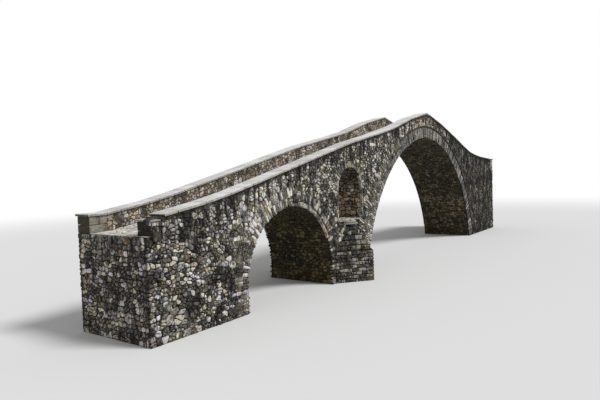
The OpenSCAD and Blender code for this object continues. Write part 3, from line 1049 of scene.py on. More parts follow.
# Every colour below is written as a screen shows it, from 0 to 255. A share is from 0 to 1.

# What the stones have where their own list says nothing else
LIMESTONE = {
    "dark": (28, 26, 21), "stone": (100, 97, 90), "pale": (234, 231, 223), "warm": (208, 178, 140),
    "dirt": (12, 11, 8), "smear": (108, 104, 94), "lichen": (212, 211, 206), "moss": (104, 102, 58),
    "lichen_share": 0.5, "pits_share": 0.7, "stains_share": 0.85, "ochre_share": 0.0,
    # The dark streaks' share also sets the painted shadow under the copings
    "dark_streaks": 0.0, "pale_streaks": 0.0, "grime_streaks": 0.0, "cast": 1.0,
}

STONES = {
    "Wall_stone": {
        "smear": (120, 115, 102), "ochre_share": 0.5, "dark_streaks": 0.9, "pale_streaks": 0.5,
        "grime_streaks": 1.0},
    "Inner_stone": {
        "dark": (66, 61, 50), "stone": (134, 128, 116), "pale": (226, 221, 214), "dirt": (30, 26, 18),
        "smear": (98, 91, 74), "pits_share": 0.5, "ochre_share": 0.35},
    "Main_voussoir": {
        "dark": (14, 13, 10), "stone": (88, 88, 83), "pale": (186, 185, 181), "dirt": (12, 12, 9),
        "smear": (70, 69, 63), "lichen_share": 0.3, "pits_share": 0.6, "stains_share": 0.75, "cast": 0.5},
    "Smooth_voussoir": {
        "dark": (92, 88, 79), "stone": (138, 134, 125), "pale": (186, 183, 175), "dirt": (50, 46, 37),
        "pits_share": 0.4},
    # The arches' undersides: damp dark brown stone, and darker still as painted shade under the arches
    "Vault_stone": {
        "dark": (13, 11, 3), "stone": (50, 45, 29), "pale": (146, 134, 108), "warm": (98, 82, 50),
        "dirt": (3, 2, 0), "smear": (18, 15, 7), "lichen": (130, 124, 106), "lichen_share": 0.25,
        "pits_share": 0.3, "stains_share": 0.4, "cast": 0.3},
    "Low_vault_stone": {
        "dark": (24, 20, 7), "stone": (52, 45, 25), "pale": (106, 95, 64), "warm": (74, 60, 30),
        "dirt": (5, 4, 1), "smear": (20, 17, 7), "lichen": (96, 90, 70), "lichen_share": 0.12,
        "pits_share": 0.2, "stains_share": 0.15, "cast": 0.4},
    "Reveal_stone": {
        "dark": (44, 38, 26), "stone": (146, 136, 119), "pale": (240, 231, 213), "warm": (164, 140, 104),
        "dirt": (10, 8, 4), "smear": (58, 51, 38), "lichen_share": 0.3, "pits_share": 0.3,
        "stains_share": 0.2},
    "Cutwater_stone": {
        "dark": (7, 6, 4), "stone": (36, 34, 29), "pale": (172, 170, 164), "dirt": (4, 3, 2),
        "smear": (44, 41, 34), "lichen_share": 0.35, "stains_share": 0.7},
    # Near black as painted shade: the drip slabs stand for the dark shadow line over the main arch's ring
    "Drip_slab": {
        "dark": (20, 19, 16), "stone": (36, 35, 30), "pale": (70, 68, 62), "lichen_share": 0.08},
    "Deck_cobble": {
        "dark": (176, 171, 166), "stone": (208, 204, 201), "pale": (228, 225, 225), "dirt": (128, 120, 108),
        "smear": (164, 156, 147), "lichen_share": 0.25, "pits_share": 0.1, "stains_share": 0.12, "cast": 0.3},
}

# Dressed blocks: their top, the dirt on them, their upright sides, and the painted shade on the sides
# that face the left end or, on the copings, on the sides beyond the main arch's axis
PALE_SLAB = {"dark": (128, 124, 114), "stone": (172, 168, 160), "pale": (208, 205, 199),
             "dirt": (80, 76, 64), "side": (150, 146, 137)}
BLOCKS = {
    "Coping_slab": {
        "dark": (196, 194, 191), "stone": (216, 215, 214), "pale": (232, 232, 236), "dirt": (152, 147, 138),
        "dirt_share": 0.35, "side": (146, 141, 129), "painted_shade_side": (10, 9, 7)},
    "Dressed_block": {
        "dark": (92, 88, 78), "stone": (128, 123, 111), "pale": (166, 161, 150), "dirt": (52, 48, 38),
        "dirt_share": 0.6, "side": (128, 123, 111), "painted_shade_side": (46, 42, 28)},
    "Foot_block": {
        "dark": (40, 37, 30), "stone": (74, 71, 63), "pale": (120, 116, 106), "dirt": (20, 18, 13),
        "dirt_share": 0.8, "side": (48, 45, 37), "painted_shade_side": (28, 24, 14)},
    "Cap_slab": {**PALE_SLAB, "dirt_share": 0.3, "painted_shade_side": (150, 146, 136)},
    "Sill_slab": {**PALE_SLAB, "dirt_share": 0.5, "painted_shade_side": (96, 91, 80)},
}

# Dark and pale mortar, and the colour behind the face of the wall, which is painted shade in the holes and
# gaps of the walls and ring and under the vaults, and the plain colour of the parapets' inner faces and of
# the deck
MORTARS = {
    "Wall_mortar": {"dark": (8, 7, 5), "pale": (122, 117, 104), "deep": (26, 23, 18)},
    "Parapet_mortar": {"dark": (10, 9, 7), "pale": (126, 121, 107), "deep": (80, 73, 58)},
    "Ring_mortar": {"dark": (18, 17, 13), "pale": (60, 58, 51), "deep": (26, 23, 15)},
    "Vault_mortar": {"dark": (5, 4, 1), "pale": (26, 22, 13), "deep": (6, 5, 2)},
    "Deck_soil": {"dark": (128, 118, 104), "pale": (178, 170, 160), "deep": (150, 141, 127)},
}


def for_shader(look):
    """A list of colours and shares with its colours turned into those of a shader"""
    return {key: screen(*value) if isinstance(value, tuple) else value for key, value in look.items()}


def stone_material(name):
    """Loose stones, whose colour and weathering follow their marks"""
    look = for_shader({**LIMESTONE, **STONES[name]})
    made, g, shader = empty_material(name)
    grain = g.group("Stone grain")
    own = g.group("Stone colour", tone=g.mark("tone"), warm=g.mark("warm"), cast=look["cast"],
                  mottle=grain["Mottle"], patches=grain["Patches"], dark_stone=look["dark"],
                  stone=look["stone"], pale_stone=look["pale"], warm_stone=look["warm"])
    shares = {}
    for effect in ("lichen", "pits", "stains", "ochre"):
        shares[effect] = g.by(grain[effect.capitalize()], look[f"{effect}_share"])
    if look["dark_streaks"]:
        # The dark streaks bring the painted shadow under the copings with them
        streak = g.group("Rain streaks and coping shade")
        for effect in ("dark", "pale", "grime"):
            shares[effect] = g.by(streak[effect.capitalize()], look[f"{effect}_streaks"])
    weather = g.group("Weathering", colour=own["Colour"], worn=g.mark("worn"), mottle=grain["Mottle"],
                      pointing=grain["Pointing"], moss=g.mark("moss"), dirt=look["dirt"],
                      smear=look["smear"], lichen_colour=look["lichen"], moss_colour=look["moss"], **shares)
    finish_stone(g, shader, grain, weather["Colour"])
    return made


def block_material(name):
    """Dressed slabs and blocks, without marks of their own, with painted shade on some of their sides"""
    look = for_shader(BLOCKS[name])
    made, g, shader = empty_material(name)
    grain = g.group("Stone grain")
    place = g.place()
    parts, facing = g.apart(place), g.facing()
    each = g.noise(place, 1.4, 1.0, squeeze=(1, 0.2, 0.3))
    own = g.group("Stone colour", tone=g.span(each, 0.3, 0.7), cast=0.3, mottle=grain["Mottle"],
                  patches=grain["Patches"], dark_stone=look["dark"], stone=look["stone"],
                  pale_stone=look["pale"], warm_stone=look["stone"])

    # How upright a side is, how far it is painted in shade, and how far its colour follows the mottling
    upright = g.span(g.size(facing["Z"]), 0.75, 0.45)
    to_left = g.span(facing["X"], -0.4, -0.7)
    # Sides that face the left end, away from the key light, are painted in shade
    dim, even = to_left, 0.35
    if name == "Coping_slab":
        # On the copings the painted shade falls on the sides beyond the main arch's axis, and on the outer
        # edge of their top there
        dim, even = g.span(parts["X"], MAIN_X - 0.1, MAIN_X + 0.6), 0.6
        outer = g.span(g.size(parts["Y"]), FACE - 0.03, FACE)
        upright = g.most(upright, g.by(outer, dim))
    share = g.by(g.span(grain["Mottle"], 0.0, 1.0, 1.0, even), upright)
    colour = g.mix(share, own["Colour"], g.mix(dim, look["side"], look["painted_shade_side"]))
    colour = g.mix(g.by(g.by(dim, upright), 0.85), colour, look["painted_shade_side"])
    # A painted shadow along the foot of the copings' ends that face the left end
    if name == "Coping_slab":
        over_bed = g.minus(parts["Z"], crest_height(g, parts["X"]))
        shadow = g.by(g.span(over_bed, 0.03, 0.045, 1.0, 0.0), to_left)
        colour = g.mix(shadow, colour, look["painted_shade_side"])

    pits = g.span(g.noise(place, 38.0, 6.0, 0.7), 0.56, 0.68)
    stains = g.span(g.noise(place, 4.5, 5.0, 0.6), 0.50, 0.70)
    dirty = g.by(g.most(pits, stains), look["dirt_share"])
    finish_stone(g, shader, grain, g.mix(dirty, colour, look["dirt"]))
    return made


def mortar_material(name):
    """Rough mortar between the stones, with another colour behind the face of the wall, which in the walls',
    ring's and vaults' mortar is painted shade in holes, gaps and undersides
    """
    look = for_shader(MORTARS[name])
    dark, pale = look["dark"], look["pale"]
    made, g, shader = empty_material(name)
    grain = g.group("Stone grain", size=0.8)
    colour = g.mix(grain["Pointing"], dark, g.mix(g.span(grain["Mottle"], 0.0, 0.7), dark, pale))
    if name in ("Wall_mortar", "Parapet_mortar"):
        streak = g.group("Rain streaks and coping shade")
        colour = g.mix(g.by(streak["Pale"], 0.4), colour, pale)
        colour = g.mix(g.by(streak["Grime"], 0.6), colour, dark)
        # Dark streaks, and the painted shadow under the copings
        colour = g.mix(g.by(streak["Dark"], 0.9), colour, dark)
    # Behind the face: painted shade in the walls', ring's and vaults' holes and gaps
    inside = g.span(g.size(g.apart(g.place())["Y"]), FACE - 0.03, FACE - 0.005, 1.0, 0.0)
    g.feed(shader.inputs["Base Color"], g.mix(inside, colour, look["deep"]))
    shader.inputs["Roughness"].default_value = 0.95
    rough_skin(g, shader, grain["Height"], 0.8, 0.01)
    return made


def material(name):
    """The named material, made once"""
    if "Stone grain" not in bpy.data.node_groups:
        for make in (grain_group, streak_and_shade_group, colour_group, weather_group):
            make()
    if name in bpy.data.materials:
        return bpy.data.materials[name]
    if name in STONES:
        return stone_material(name)
    if name in BLOCKS:
        return block_material(name)
    return mortar_material(name)


# Layout of the side walls


class Opening:
    """An arch's outline in a side wall. Dressed rings edge it to the right of some spokes, and
    stones on edge fan out round the rest."""

    def __init__(self, x, z, radius, foot, half, rings, fan, rag):
        self.x, self.z, self.radius, self.foot = x, z, radius, foot
        # The half of the main arch that this outline stands for, or 0
        self.half = half
        # The cosine of the spoke at which a ring starts, and its depth from there on
        self.rings = rings
        # Depth of the stones on edge at a place, and how unevenly they end at the opening
        self.fan = fan
        self.rag = rag

    def ring(self, nu):
        """Depth of the dressed ring at a spoke"""
        return ([0.0] + [depth for start, depth in self.rings if nu >= start])[-1]

    def away(self, u, v):
        """Distance from the outline and the direction away from it"""
        if v < self.foot:
            below = abs(u - self.x) < self.radius + 0.05
            return (self.foot - v if below else ABOVE_ALL), 0.0, -1.0
        if v < self.z:
            return abs(u - self.x) - self.radius, math.copysign(1.0, u - self.x), 0.0
        distance = math.hypot(u - self.x, v - self.z)
        return distance - self.radius, (u - self.x) / distance, (v - self.z) / distance

    def holds(self, u, v):
        """Tells whether the stones at a place stand on edge round this opening"""
        if self.half * (u - MAIN_X) < 0 or v < self.foot:
            return False
        return self.away(u, v)[0] < self.fan(u, v)

    def planes(self, u, v, rng):
        """Half planes that keep a stone off the opening and its ring, or None inside them"""
        away, nu, nv = self.away(u, v)
        edge = 0.0 if v < self.foot else self.ring(nu) or -OVERHANG - rng.uniform(0, self.rag)
        if away < edge + 0.03:
            return None
        if away > edge + 0.7:
            return []
        planes = [(-nu, -nv, away - edge - nu * u - nv * v)]
        last = 0.0
        for start, depth in self.rings:
            spoke = math.sqrt(1 - start ** 2)
            if nu < start and away < depth:
                planes.append((spoke, -start, spoke * self.x - start * self.z - CLEAR))
            elif nu >= start and depth <= away < last:
                planes.append((-spoke, start, start * self.z - spoke * self.x - CLEAR))
            last = depth
        return planes


def timber_holes():
    """Middles of the timber holes in a side wall, from left to right"""
    z, radius = main_centre()
    middles = []
    for dx, up in HOLES:
        under = z + math.sqrt(radius ** 2 - (abs(dx) + arch_sizes().main_strike) ** 2)
        middles.append((MAIN_X + dx, under + up + HOLE / 2))
    return sorted(middles)


def ring_start():
    """Length along the main arch's line at which its dressed ring starts"""
    curve = main_curve()
    return float(np.interp(CROWN_LEFT, curve.x + curve.nx * arch_sizes().main_ring, curve.s))


def wall_openings():
    """The openings that bound the stones of a side wall"""
    arches = arch_sizes()
    z, radius = main_centre()
    main_ring = arches.main_ring + arches.hood + CLEAR
    left_rings = [(HAUNCH_FROM, HAUNCH_RING), (float(main_curve().at(ring_start())[2]), main_ring)]
    small_rings = [(spoke, share * arches.smooth_ring) for spoke, share in SMALL_RING]

    def haunch_fan(u, v):
        if u > CROWN_LEFT:
            return 0.0
        uneven = 0.25 * noise.noise((u * 1.3, v * 1.3, 2.0))
        return 0.85 + uneven + 1.2 * min(max((4.3 - v) / 0.9, 0.0), 1.0)

    def small_fan(u, v):
        return 0.62 + 0.2 * noise.noise((u * 1.5, v * 1.5, 6.0))

    def relief_fan(u, v):
        return 0.26 if v > RELIEF_SPRING else 0.2

    strike = arches.main_strike
    return [
        Opening(MAIN_X + strike, z, radius, BELOW_ALL, -1, left_rings, haunch_fan, 0.006),
        Opening(MAIN_X - strike, z, radius, BELOW_ALL, 1, [(-1.0, main_ring)], lambda u, v: 0.0, 0.0),
        Opening(RELIEF_X, RELIEF_SPRING, RELIEF_R, SILL, 0, RELIEF_RING, relief_fan, 0.018),
        Opening(SMALL_X, SMALL_SPRING, arches.small_radius, BELOW_ALL, 0, small_rings, small_fan, 0.045),
    ]


def wall_top(u, side):
    """The half plane below the top of a side wall's stones"""
    if u > RIGHT_PILLAR or u < (NEAR_PILLAR_LOW.x if side == NEAR else FAR_PILLAR_HIGH.x):
        return under_line(u, PARAPET + CLEAR)
    if side == NEAR and u < NEAR_PILLAR_HIGH.x:
        return 0.0, 1.0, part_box("pillar_cap_left_near")[0].z - CLEAR
    return under_line(u, CLEAR)


def hole_planes(holes, half, u, v):
    """Half planes that keep a stone off some holes, or None where it lies too close to one"""
    planes = []
    for x, y in holes:
        away = math.hypot(u - x, v - y)
        if away < half + HOLE_LEAST:
            return None
        if away < HOLE_REACH:
            du, dv = (u - x) / away, (v - y) / away
            planes.append((-du, -dv, away - half - du * u - dv * v))
    return planes


def wall_limits(rng, side):
    """Half planes that hold a stone of the near or far side wall"""
    openings = wall_openings()
    holes = timber_holes()
    box = box_limits(X_LEFT - 0.012, X_RIGHT + 0.012, CLEAR, ABOVE_ALL)

    def limits(u, v):
        top = wall_top(u, side)
        in_wall = X_LEFT < u < X_RIGHT and v >= 0.02 and top[0] * u + top[1] * v <= top[2] - 0.02
        behind_cutwater = abs(u - PIER_X) < BEHIND_CUTWATER and v < BEHIND_CUTWATER
        on_pillar = side == NEAR and v > NEAR_PILLAR_LOW.z
        left_of_pillar = on_pillar and u < NEAR_PILLAR_LOW.x + 0.04 and v > NEAR_PILLAR_LOW.z + 0.05
        if not in_wall or behind_cutwater or left_of_pillar:
            return None
        planes = [top, *box]
        if on_pillar and u < NEAR_PILLAR_HIGH.x:
            planes.append((-1.0, 0.0, -NEAR_PILLAR_LOW.x - 0.02))
        for opening in openings:
            if opening.half * (u - MAIN_X) < 0:
                continue
            found = opening.planes(u, v, rng)
            if found is None:
                return None
            planes += found
        found = hole_planes(holes, HOLE_HALF, u, v)
        return None if found is None else planes + found
    return limits


def wall_grain(lying_stretch=1.3, edge_stretch=3.0):
    """The way in which the side walls' stones lie, and the joint between them"""
    openings = wall_openings()
    usual = stone_sizes().joint

    def grain(u, v):
        joint = usual * (1.0 + 0.9 * noise.noise((u * 2.1, v * 2.1, 8.0)))
        for opening in openings:
            if opening.holds(u, v):
                away, nu, nv = opening.away(u, v)
                return nu, nv, edge_stretch, joint * min(0.35 + 0.7 * max(away, 0.0), 1.0)
        return 1.0, 0.0, lying_stretch, joint
    return grain


def pointed_anew(u, v):
    """Tells whether the joints at a place were pointed anew, which leaves the stones nearly flush"""
    on_haunch = u < CROWN_LEFT and over_haunch(u, v) < FRESH_HAUNCH
    return abs(u - FRESH_X) < FRESH_REACH or on_haunch


def fan_sites(rng, curve, start, end, thick, lengths, deepest):
    """Places of stones on edge along a line under an arch, in spokes of uneven stones"""
    sites = []
    s = start
    while s < end:
        step = rng.uniform(*thick)
        x, z, nx, nz = curve.at(s + step / 2)
        depth = 0.0
        while depth < deepest:
            length = rng.uniform(*lengths)
            out = depth + length / 2
            sites.append((x + out * nx, z + out * nz))
            depth += length
        s += step
    return sites


def wall_sites(rng):
    """Places of the side walls' stones"""
    openings = wall_openings()
    rubble = stone_sizes()
    sites = rubble_sites(rng, X_LEFT, X_RIGHT, 0.0, float(CREST_Z.max()), rubble.length, rubble.course)
    sites = [(u, v + 0.08 * noise.noise((u * 0.7, v * 0.7, 4.0))) for u, v in mixed_sizes(rng, sites)]
    sites = [site for site in sites if not any(opening.holds(*site) for opening in openings)]
    main, small, relief = main_curve(), small_curve(), relief_curve()
    # Each fan's opening, line and end, its stones' thickness and length, and its greatest depth
    fans = [
        (openings[0], main, main.length / 2, (0.06, 0.10), (0.16, 0.42), 2.4),
        (openings[2], relief, relief.length, (0.07, 0.14), (0.12, 0.26), 0.5),
        (openings[3], small, small.length, (0.08, 0.15), (0.16, 0.42), 1.0),
    ]
    for opening, curve, end, thick, lengths, deepest in fans:
        for u, v in fan_sites(rng, curve, 0.0, end, thick, lengths, deepest):
            holder = next((other for other in openings if other.holds(u, v)), None)
            if holder is opening:
                sites.append((u, v))
    return sites


def small_curve():
    """The line under the small arch"""
    return round_curve(SMALL_X, SMALL_SPRING, arch_sizes().small_radius, 0.0)


def relief_curve():
    """The line under the relief arch"""
    return round_curve(RELIEF_X, RELIEF_SPRING, RELIEF_R, SILL)


def barrel_stones(masonry, curve, length, thick, joint, stretch, tint, proud, holes=(), hole=0.0):
    """Lays the stones under an arch, in rows across the bridge, round some holes"""
    half = FACE - 0.066
    sites = rubble_sites(masonry.rng, -half, half, 0.0, curve.length, length, thick, 0.2, 9.0)
    sites = inside_box([(v, u) for u, v in sites], 0.0, curve.length, -half, half, 0.02)
    held = box_limits(0.0, curve.length, -half, half)

    def limits(u, v):
        found = hole_planes(holes, hole / 2, u, v)
        return None if found is None else held + found

    cells = stone_cells(sites, limits, lambda u, v: (0.0, 1.0, stretch, joint))
    masonry.lay(softened(trimmed(cells), masonry.rng), under_arch(curve), proud, 0.05, 0.014, tint, flip=True)


# Operators


class FOOTBRIDGE_OT_side_walls(bpy.types.Operator):
    """Lay the rubble of both side walls"""

    bl_idname = "footbridge.side_walls"
    bl_label = "Side walls"

    # The place along the bridge that parts the left stones from the right ones
    split = -6.0
    # How far the stones stand out where the joints were pointed anew
    flush = (0.005, 0.017)

    def execute(self, context):
        rubble = stone_sizes()
        for side, name in SIDES:
            rng = draws(side)
            cells = stone_cells(wall_sites(rng), wall_limits(rng, side), wall_grain())
            cells = softened(trimmed(cells), rng)
            for part, on_right, start in (("left", False, 4), ("right", True, 5)):
                masonry = Masonry(10 * side + start)
                stones = [c for c in cells if (c[0][0] >= self.split) == on_right]
                for proud, anew in (((rubble.low, rubble.high), False), (self.flush, True)):
                    chosen = [c for c in stones if pointed_anew(*c[0]) == anew]
                    masonry.lay(chosen, on_face(side), proud, rubble.root, WORN_EDGE, wall_tint,
                                flip=side == FAR)
                masonry.build(f"wall_stones_{name}_{part}", "Wall_stone")
        return {"FINISHED"}


class FOOTBRIDGE_OT_end_walls(bpy.types.Operator):
    """Lay the rubble of both end faces"""

    bl_idname = "footbridge.end_walls"
    bl_label = "End walls"

    # How much longer and higher the stones are than those of the side walls
    longer, higher = 1.15, 1.2
    # Greatest height of a stone over the mortar
    proudest = 0.03

    def execute(self, context):
        rubble = stone_sizes()
        half = FACE - rubble.root
        for name, x, way in (("left", X_LEFT, -1), ("right", X_RIGHT, 1)):
            masonry = Masonry(20 + way)
            top = float(crest(x)) - PARAPET - CLEAR
            sites = rubble_sites(masonry.rng, -FACE, FACE, 0.0, top, rubble.length * self.longer,
                                 rubble.course * self.higher)
            cells = box_cells(sites, (-half, half, 0.0, top), 0.03, 1.35, rubble.joint, foot=CLEAR)

            def place(u, v, h):
                return x + way * h, u, v

            masonry.lay(softened(trimmed(cells), masonry.rng), place, (rubble.low, self.proudest),
                        rubble.root, WORN_EDGE, wall_tint, flip=way < 0, tilt=0.03)
            masonry.build(f"end_stones_{name}", "Wall_stone")
        return {"FINISHED"}


class FOOTBRIDGE_OT_main_arch(bpy.types.Operator):
    """Lay the main arch's voussoirs, drip course and underside"""

    bl_idname = "footbridge.main_arch"
    bl_label = "Main arch"

    # Thickness of the voussoirs, and of those under and over a timber hole
    thick, by_hole = (0.045, 0.085), (0.07, 0.09)
    # Length of the drip course's slabs
    slabs = (0.28, 0.5)
    # Height at which the underside's stones are palest, and how far from it they still are paler
    palest, pale_reach = 2.1, 2.2

    def voussoirs(self, rng, curve):
        """Outlines of the ring's stones, with the timber holes left open"""
        crown = ring_start()
        depth_of_ring = arch_sizes().main_ring

        def low(s):
            return -OVERHANG - rng.uniform(0, 0.006)

        def high(s):
            return depth_of_ring - 0.016 if s > crown else HAUNCH_RING - rng.uniform(0.0, 0.09)

        stones = []
        start = curve.spoke(HAUNCH_FROM, False)
        # Where the stones have to end, and the depth of the timber hole that ends them
        stops = [(crown, None), (curve.length / 2, None), (curve.length, None)]
        for x, z in timber_holes():
            s, depth = curve.nearest(x, z)
            if s > start and depth < HAUNCH_RING:
                stops.append((s, depth))
        for stop, depth in sorted(stops, key=lambda pair: pair[0]):
            end = stop if depth is None else stop - HOLE_HALF
            stones += edge_stones(rng, start, end, self.thick, low, high, 0.010, 0.006, 0.15)
            start = end
            if depth is not None:
                start = stop + HOLE_HALF
                under, over = depth - HOLE_HALF, depth + HOLE_HALF
                stones += edge_stones(rng, end, start, self.by_hole, low, lambda s: under, 0.006, 0.004)
                if high(stop) - over > 0.05:
                    stones += edge_stones(rng, end, start, self.by_hole, lambda s: over, high, 0.006, 0.004)
        return stones

    def drip(self, rng, curve):
        """Outlines of the drip course's slabs"""
        low = arch_sizes().main_ring
        high = low + arch_sizes().hood
        stones = []
        for s0, s1 in ((ring_start(), curve.length / 2), (curve.length / 2, curve.length)):
            stones += edge_stones(rng, s0, s1, self.slabs, lambda s: low, lambda s: high, 0.006, 0.006)
        return stones

    def vault_tint(self, rng, points):
        """Marks of the underside's stones, which are palest at a third of the height"""
        count = len(points)
        pale = 1 - np.clip(np.abs(points[:, -1, 2] - self.palest) / self.pale_reach, 0, 1)
        tone = np.clip(rng.uniform(-0.2, 0.6, count) + 0.35 * pale, 0, 1)
        return tone, drawn(rng, -0.5, 0.7, count), np.zeros(count)

    def ring_tint(self, rng, points):
        """Marks of the ring's stones, which are paler along the left haunch and even at the crown"""
        count = len(points)
        x = points[:, -1, 0]
        tone = np.where(x < MAIN_X + 0.4, rng.uniform(0.15, 0.8, count), rng.beta(0.5, 0.8, count))
        tone = np.where(x < CROWN_LEFT, rng.uniform(0.3, 1.05, count), tone)
        return np.clip(tone, 0, 1), drawn(rng, -0.4, 0.2, count), np.zeros(count)

    def execute(self, context):
        root = stone_sizes().root
        curve = main_curve()
        for side, name in SIDES:
            ring = Masonry(40 + side)
            ring.lay(self.voussoirs(ring.rng, curve), on_ring(curve, side), (0.008, 0.016),
                     root, 0.006, self.ring_tint, flip=side == FAR, rough=0.002, tilt=0.012)
            ring.build(f"main_voussoirs_{name}", "Main_voussoir")
            drip = Masonry(44 + side)
            drip.lay(self.drip(drip.rng, curve), on_ring(curve, side),
                     (HOOD_OUT - 0.014, HOOD_OUT - 0.003), 0.5, 0.007, even_tint(0.1, 1.0),
                     flip=side == FAR, rough=0.002, tilt=0.01)
            drip.build(f"drip_slabs_{name}", "Drip_slab", [f"main_arch_hood_{name}"])
        vault = Masonry(48)
        barrel_stones(vault, curve, 0.21, 0.105, 0.014, 1.6, self.vault_tint, (0.006, 0.022))
        vault.build("main_vault_stones", "Vault_stone")
        return {"FINISHED"}


class FOOTBRIDGE_OT_small_arch(bpy.types.Operator):
    """Lay the small arch's smooth half ring and its underside"""

    bl_idname = "footbridge.small_arch"
    bl_label = "Small arch"

    # Thickness of the dressed stones
    thick = (0.05, 0.12)

    def tint(self, rng, points):
        """Marks that vary little in the barrel and more low on its sides"""
        count = len(points)
        low_down = np.clip((ROW_HOLES[0] - points[:, -1, 2]) / 0.3, 0.1, 1)
        tone = 0.5 + rng.uniform(-0.45, 0.6, count) * low_down
        return np.clip(tone, 0, 1), drawn(rng, -0.7, 0.6, count), np.zeros(count)

    def execute(self, context):
        curve = small_curve()
        edge = wall_openings()[-1]
        end = curve.spoke(SMALL_RING[-1][0], True)
        for side, name in SIDES:
            ring = Masonry(60 + side)
            stones = edge_stones(ring.rng, curve.length / 2, end, self.thick,
                                 lambda s: -0.016 - ring.rng.uniform(0, 0.01),
                                 lambda s: edge.ring(curve.at(s)[2]) - ring.rng.uniform(0.004, 0.03),
                                 0.008, 0.012)
            ring.lay(stones, on_ring(curve, side), (0.010, 0.022), stone_sizes().root, 0.008,
                     even_tint(0.4, 1.0, 0.2), flip=side == FAR, rough=0.002, tilt=0.02, clean=0.6)
            ring.build(f"small_ring_stones_{name}", "Smooth_voussoir")
        vault = Masonry(68)
        height, width, places = ROW_HOLES
        right = len(curve.z) // 2
        along = float(np.interp(-height, -curve.z[right:], curve.s[right:]))
        barrel_stones(vault, curve, 0.2, 0.125, 0.018, 1.3, self.tint, (0.006, 0.03),
                      [(along, y) for y in places], width)
        vault.build("small_vault_stones", "Low_vault_stone")
        return {"FINISHED"}


class FOOTBRIDGE_OT_relief_arch(bpy.types.Operator):
    """Lay the relief arch's reveal, quoins, floor and sills"""

    bl_idname = "footbridge.relief_arch"
    bl_label = "Relief arch"

    # The floor keeps this far inside the wall's faces and off the jambs
    floor_in, floor_off = 0.33, 0.03
    # How far a sill slab runs in behind the wall's face
    sill_in = 0.32
    # Length of the quoins
    quoins = (0.09, 0.2)

    def tint(self, rng, points):
        """Marks that leave the head of the arch dark"""
        count = len(points)
        under = np.clip((RELIEF_SPRING + 0.45 - points[:, -1, 2]) / 0.5, 0, 1)
        tone = rng.uniform(0.15, 1.15, count) * (0.05 + 0.9 * under)
        return tone, drawn(rng, -0.6, 0.6, count), rng.uniform(0, 0.1, count)

    def lay_floor(self):
        """The stones that the opening stands on, between its sills"""
        masonry = Masonry(90)
        inner = FACE - self.floor_in
        half = RELIEF_R - self.floor_off
        box = (RELIEF_X - half, RELIEF_X + half, -inner, inner)
        cells = box_cells(rubble_sites(masonry.rng, *box, 0.3, 0.24), box, 0.02, 1.0, 0.016)

        def place(u, v, h):
            return u, v, SILL + h

        masonry.lay(trimmed(cells), place, (0.03, 0.05), 0.03, 0.012, even_tint(0, 1, 0.5, 0.3))
        masonry.build("relief_floor_stones", "Reveal_stone")

    def set_sills(self):
        """The slabs of both sills"""
        low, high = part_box("relief_sills")
        rng = draws(92)
        bm = bmesh.new()
        for side in (NEAR, FAR):
            ends = np.cumsum([0.0, *rng.uniform(0.4, 1.2, 6)])
            ends = low.x + (high.x - low.x) * ends / ends[-1]
            for x0, x1 in zip(ends, ends[1:]):
                y0, y1 = sorted((side * (high.y - rng.uniform(0, 0.04)), side * (FACE - self.sill_in)))
                top = high.z - rng.uniform(0, 0.02)
                rough_block(bm, (x0 + 0.008, y0, low.z), (x1 - 0.008, y1, top), 0.012, 0.016, (3, 3, 1))
        block_piece("sill_slabs", bm, "Sill_slab", ["relief_sills"])

    def set_quoins(self, curve):
        """The dressed stones along the jambs"""
        root = stone_sizes().root
        (_, left), (head, _), (right, depth) = RELIEF_RING
        jambs = ((0.0, curve.spoke(head, False), left), (curve.spoke(right, True), curve.length, depth))
        for side, name in SIDES:
            masonry = Masonry(94 + side)
            rng = masonry.rng
            stones = []
            for start, end, deep in jambs:
                stones += edge_stones(rng, start, end, self.quoins, lambda s: -0.012 - rng.uniform(0, 0.012),
                                      lambda s: deep - rng.uniform(0.004, 0.02), 0.008, 0.006)
            masonry.lay(stones, on_ring(curve, side), (0.012, 0.024), root, 0.008, even_tint(0.45, 1.1, 0.2),
                        flip=side == FAR, rough=0.003, tilt=0.02, clean=0.6)
            masonry.build(f"relief_quoins_{name}", "Smooth_voussoir")

    def execute(self, context):
        curve = relief_curve()
        vault = Masonry(88)
        barrel_stones(vault, curve, 0.25, 0.155, 0.018, 1.3, self.tint, (0.006, 0.03))
        vault.build("relief_vault_stones", "Reveal_stone")
        self.set_quoins(curve)
        self.lay_floor()
        self.set_sills()
        return {"FINISHED"}


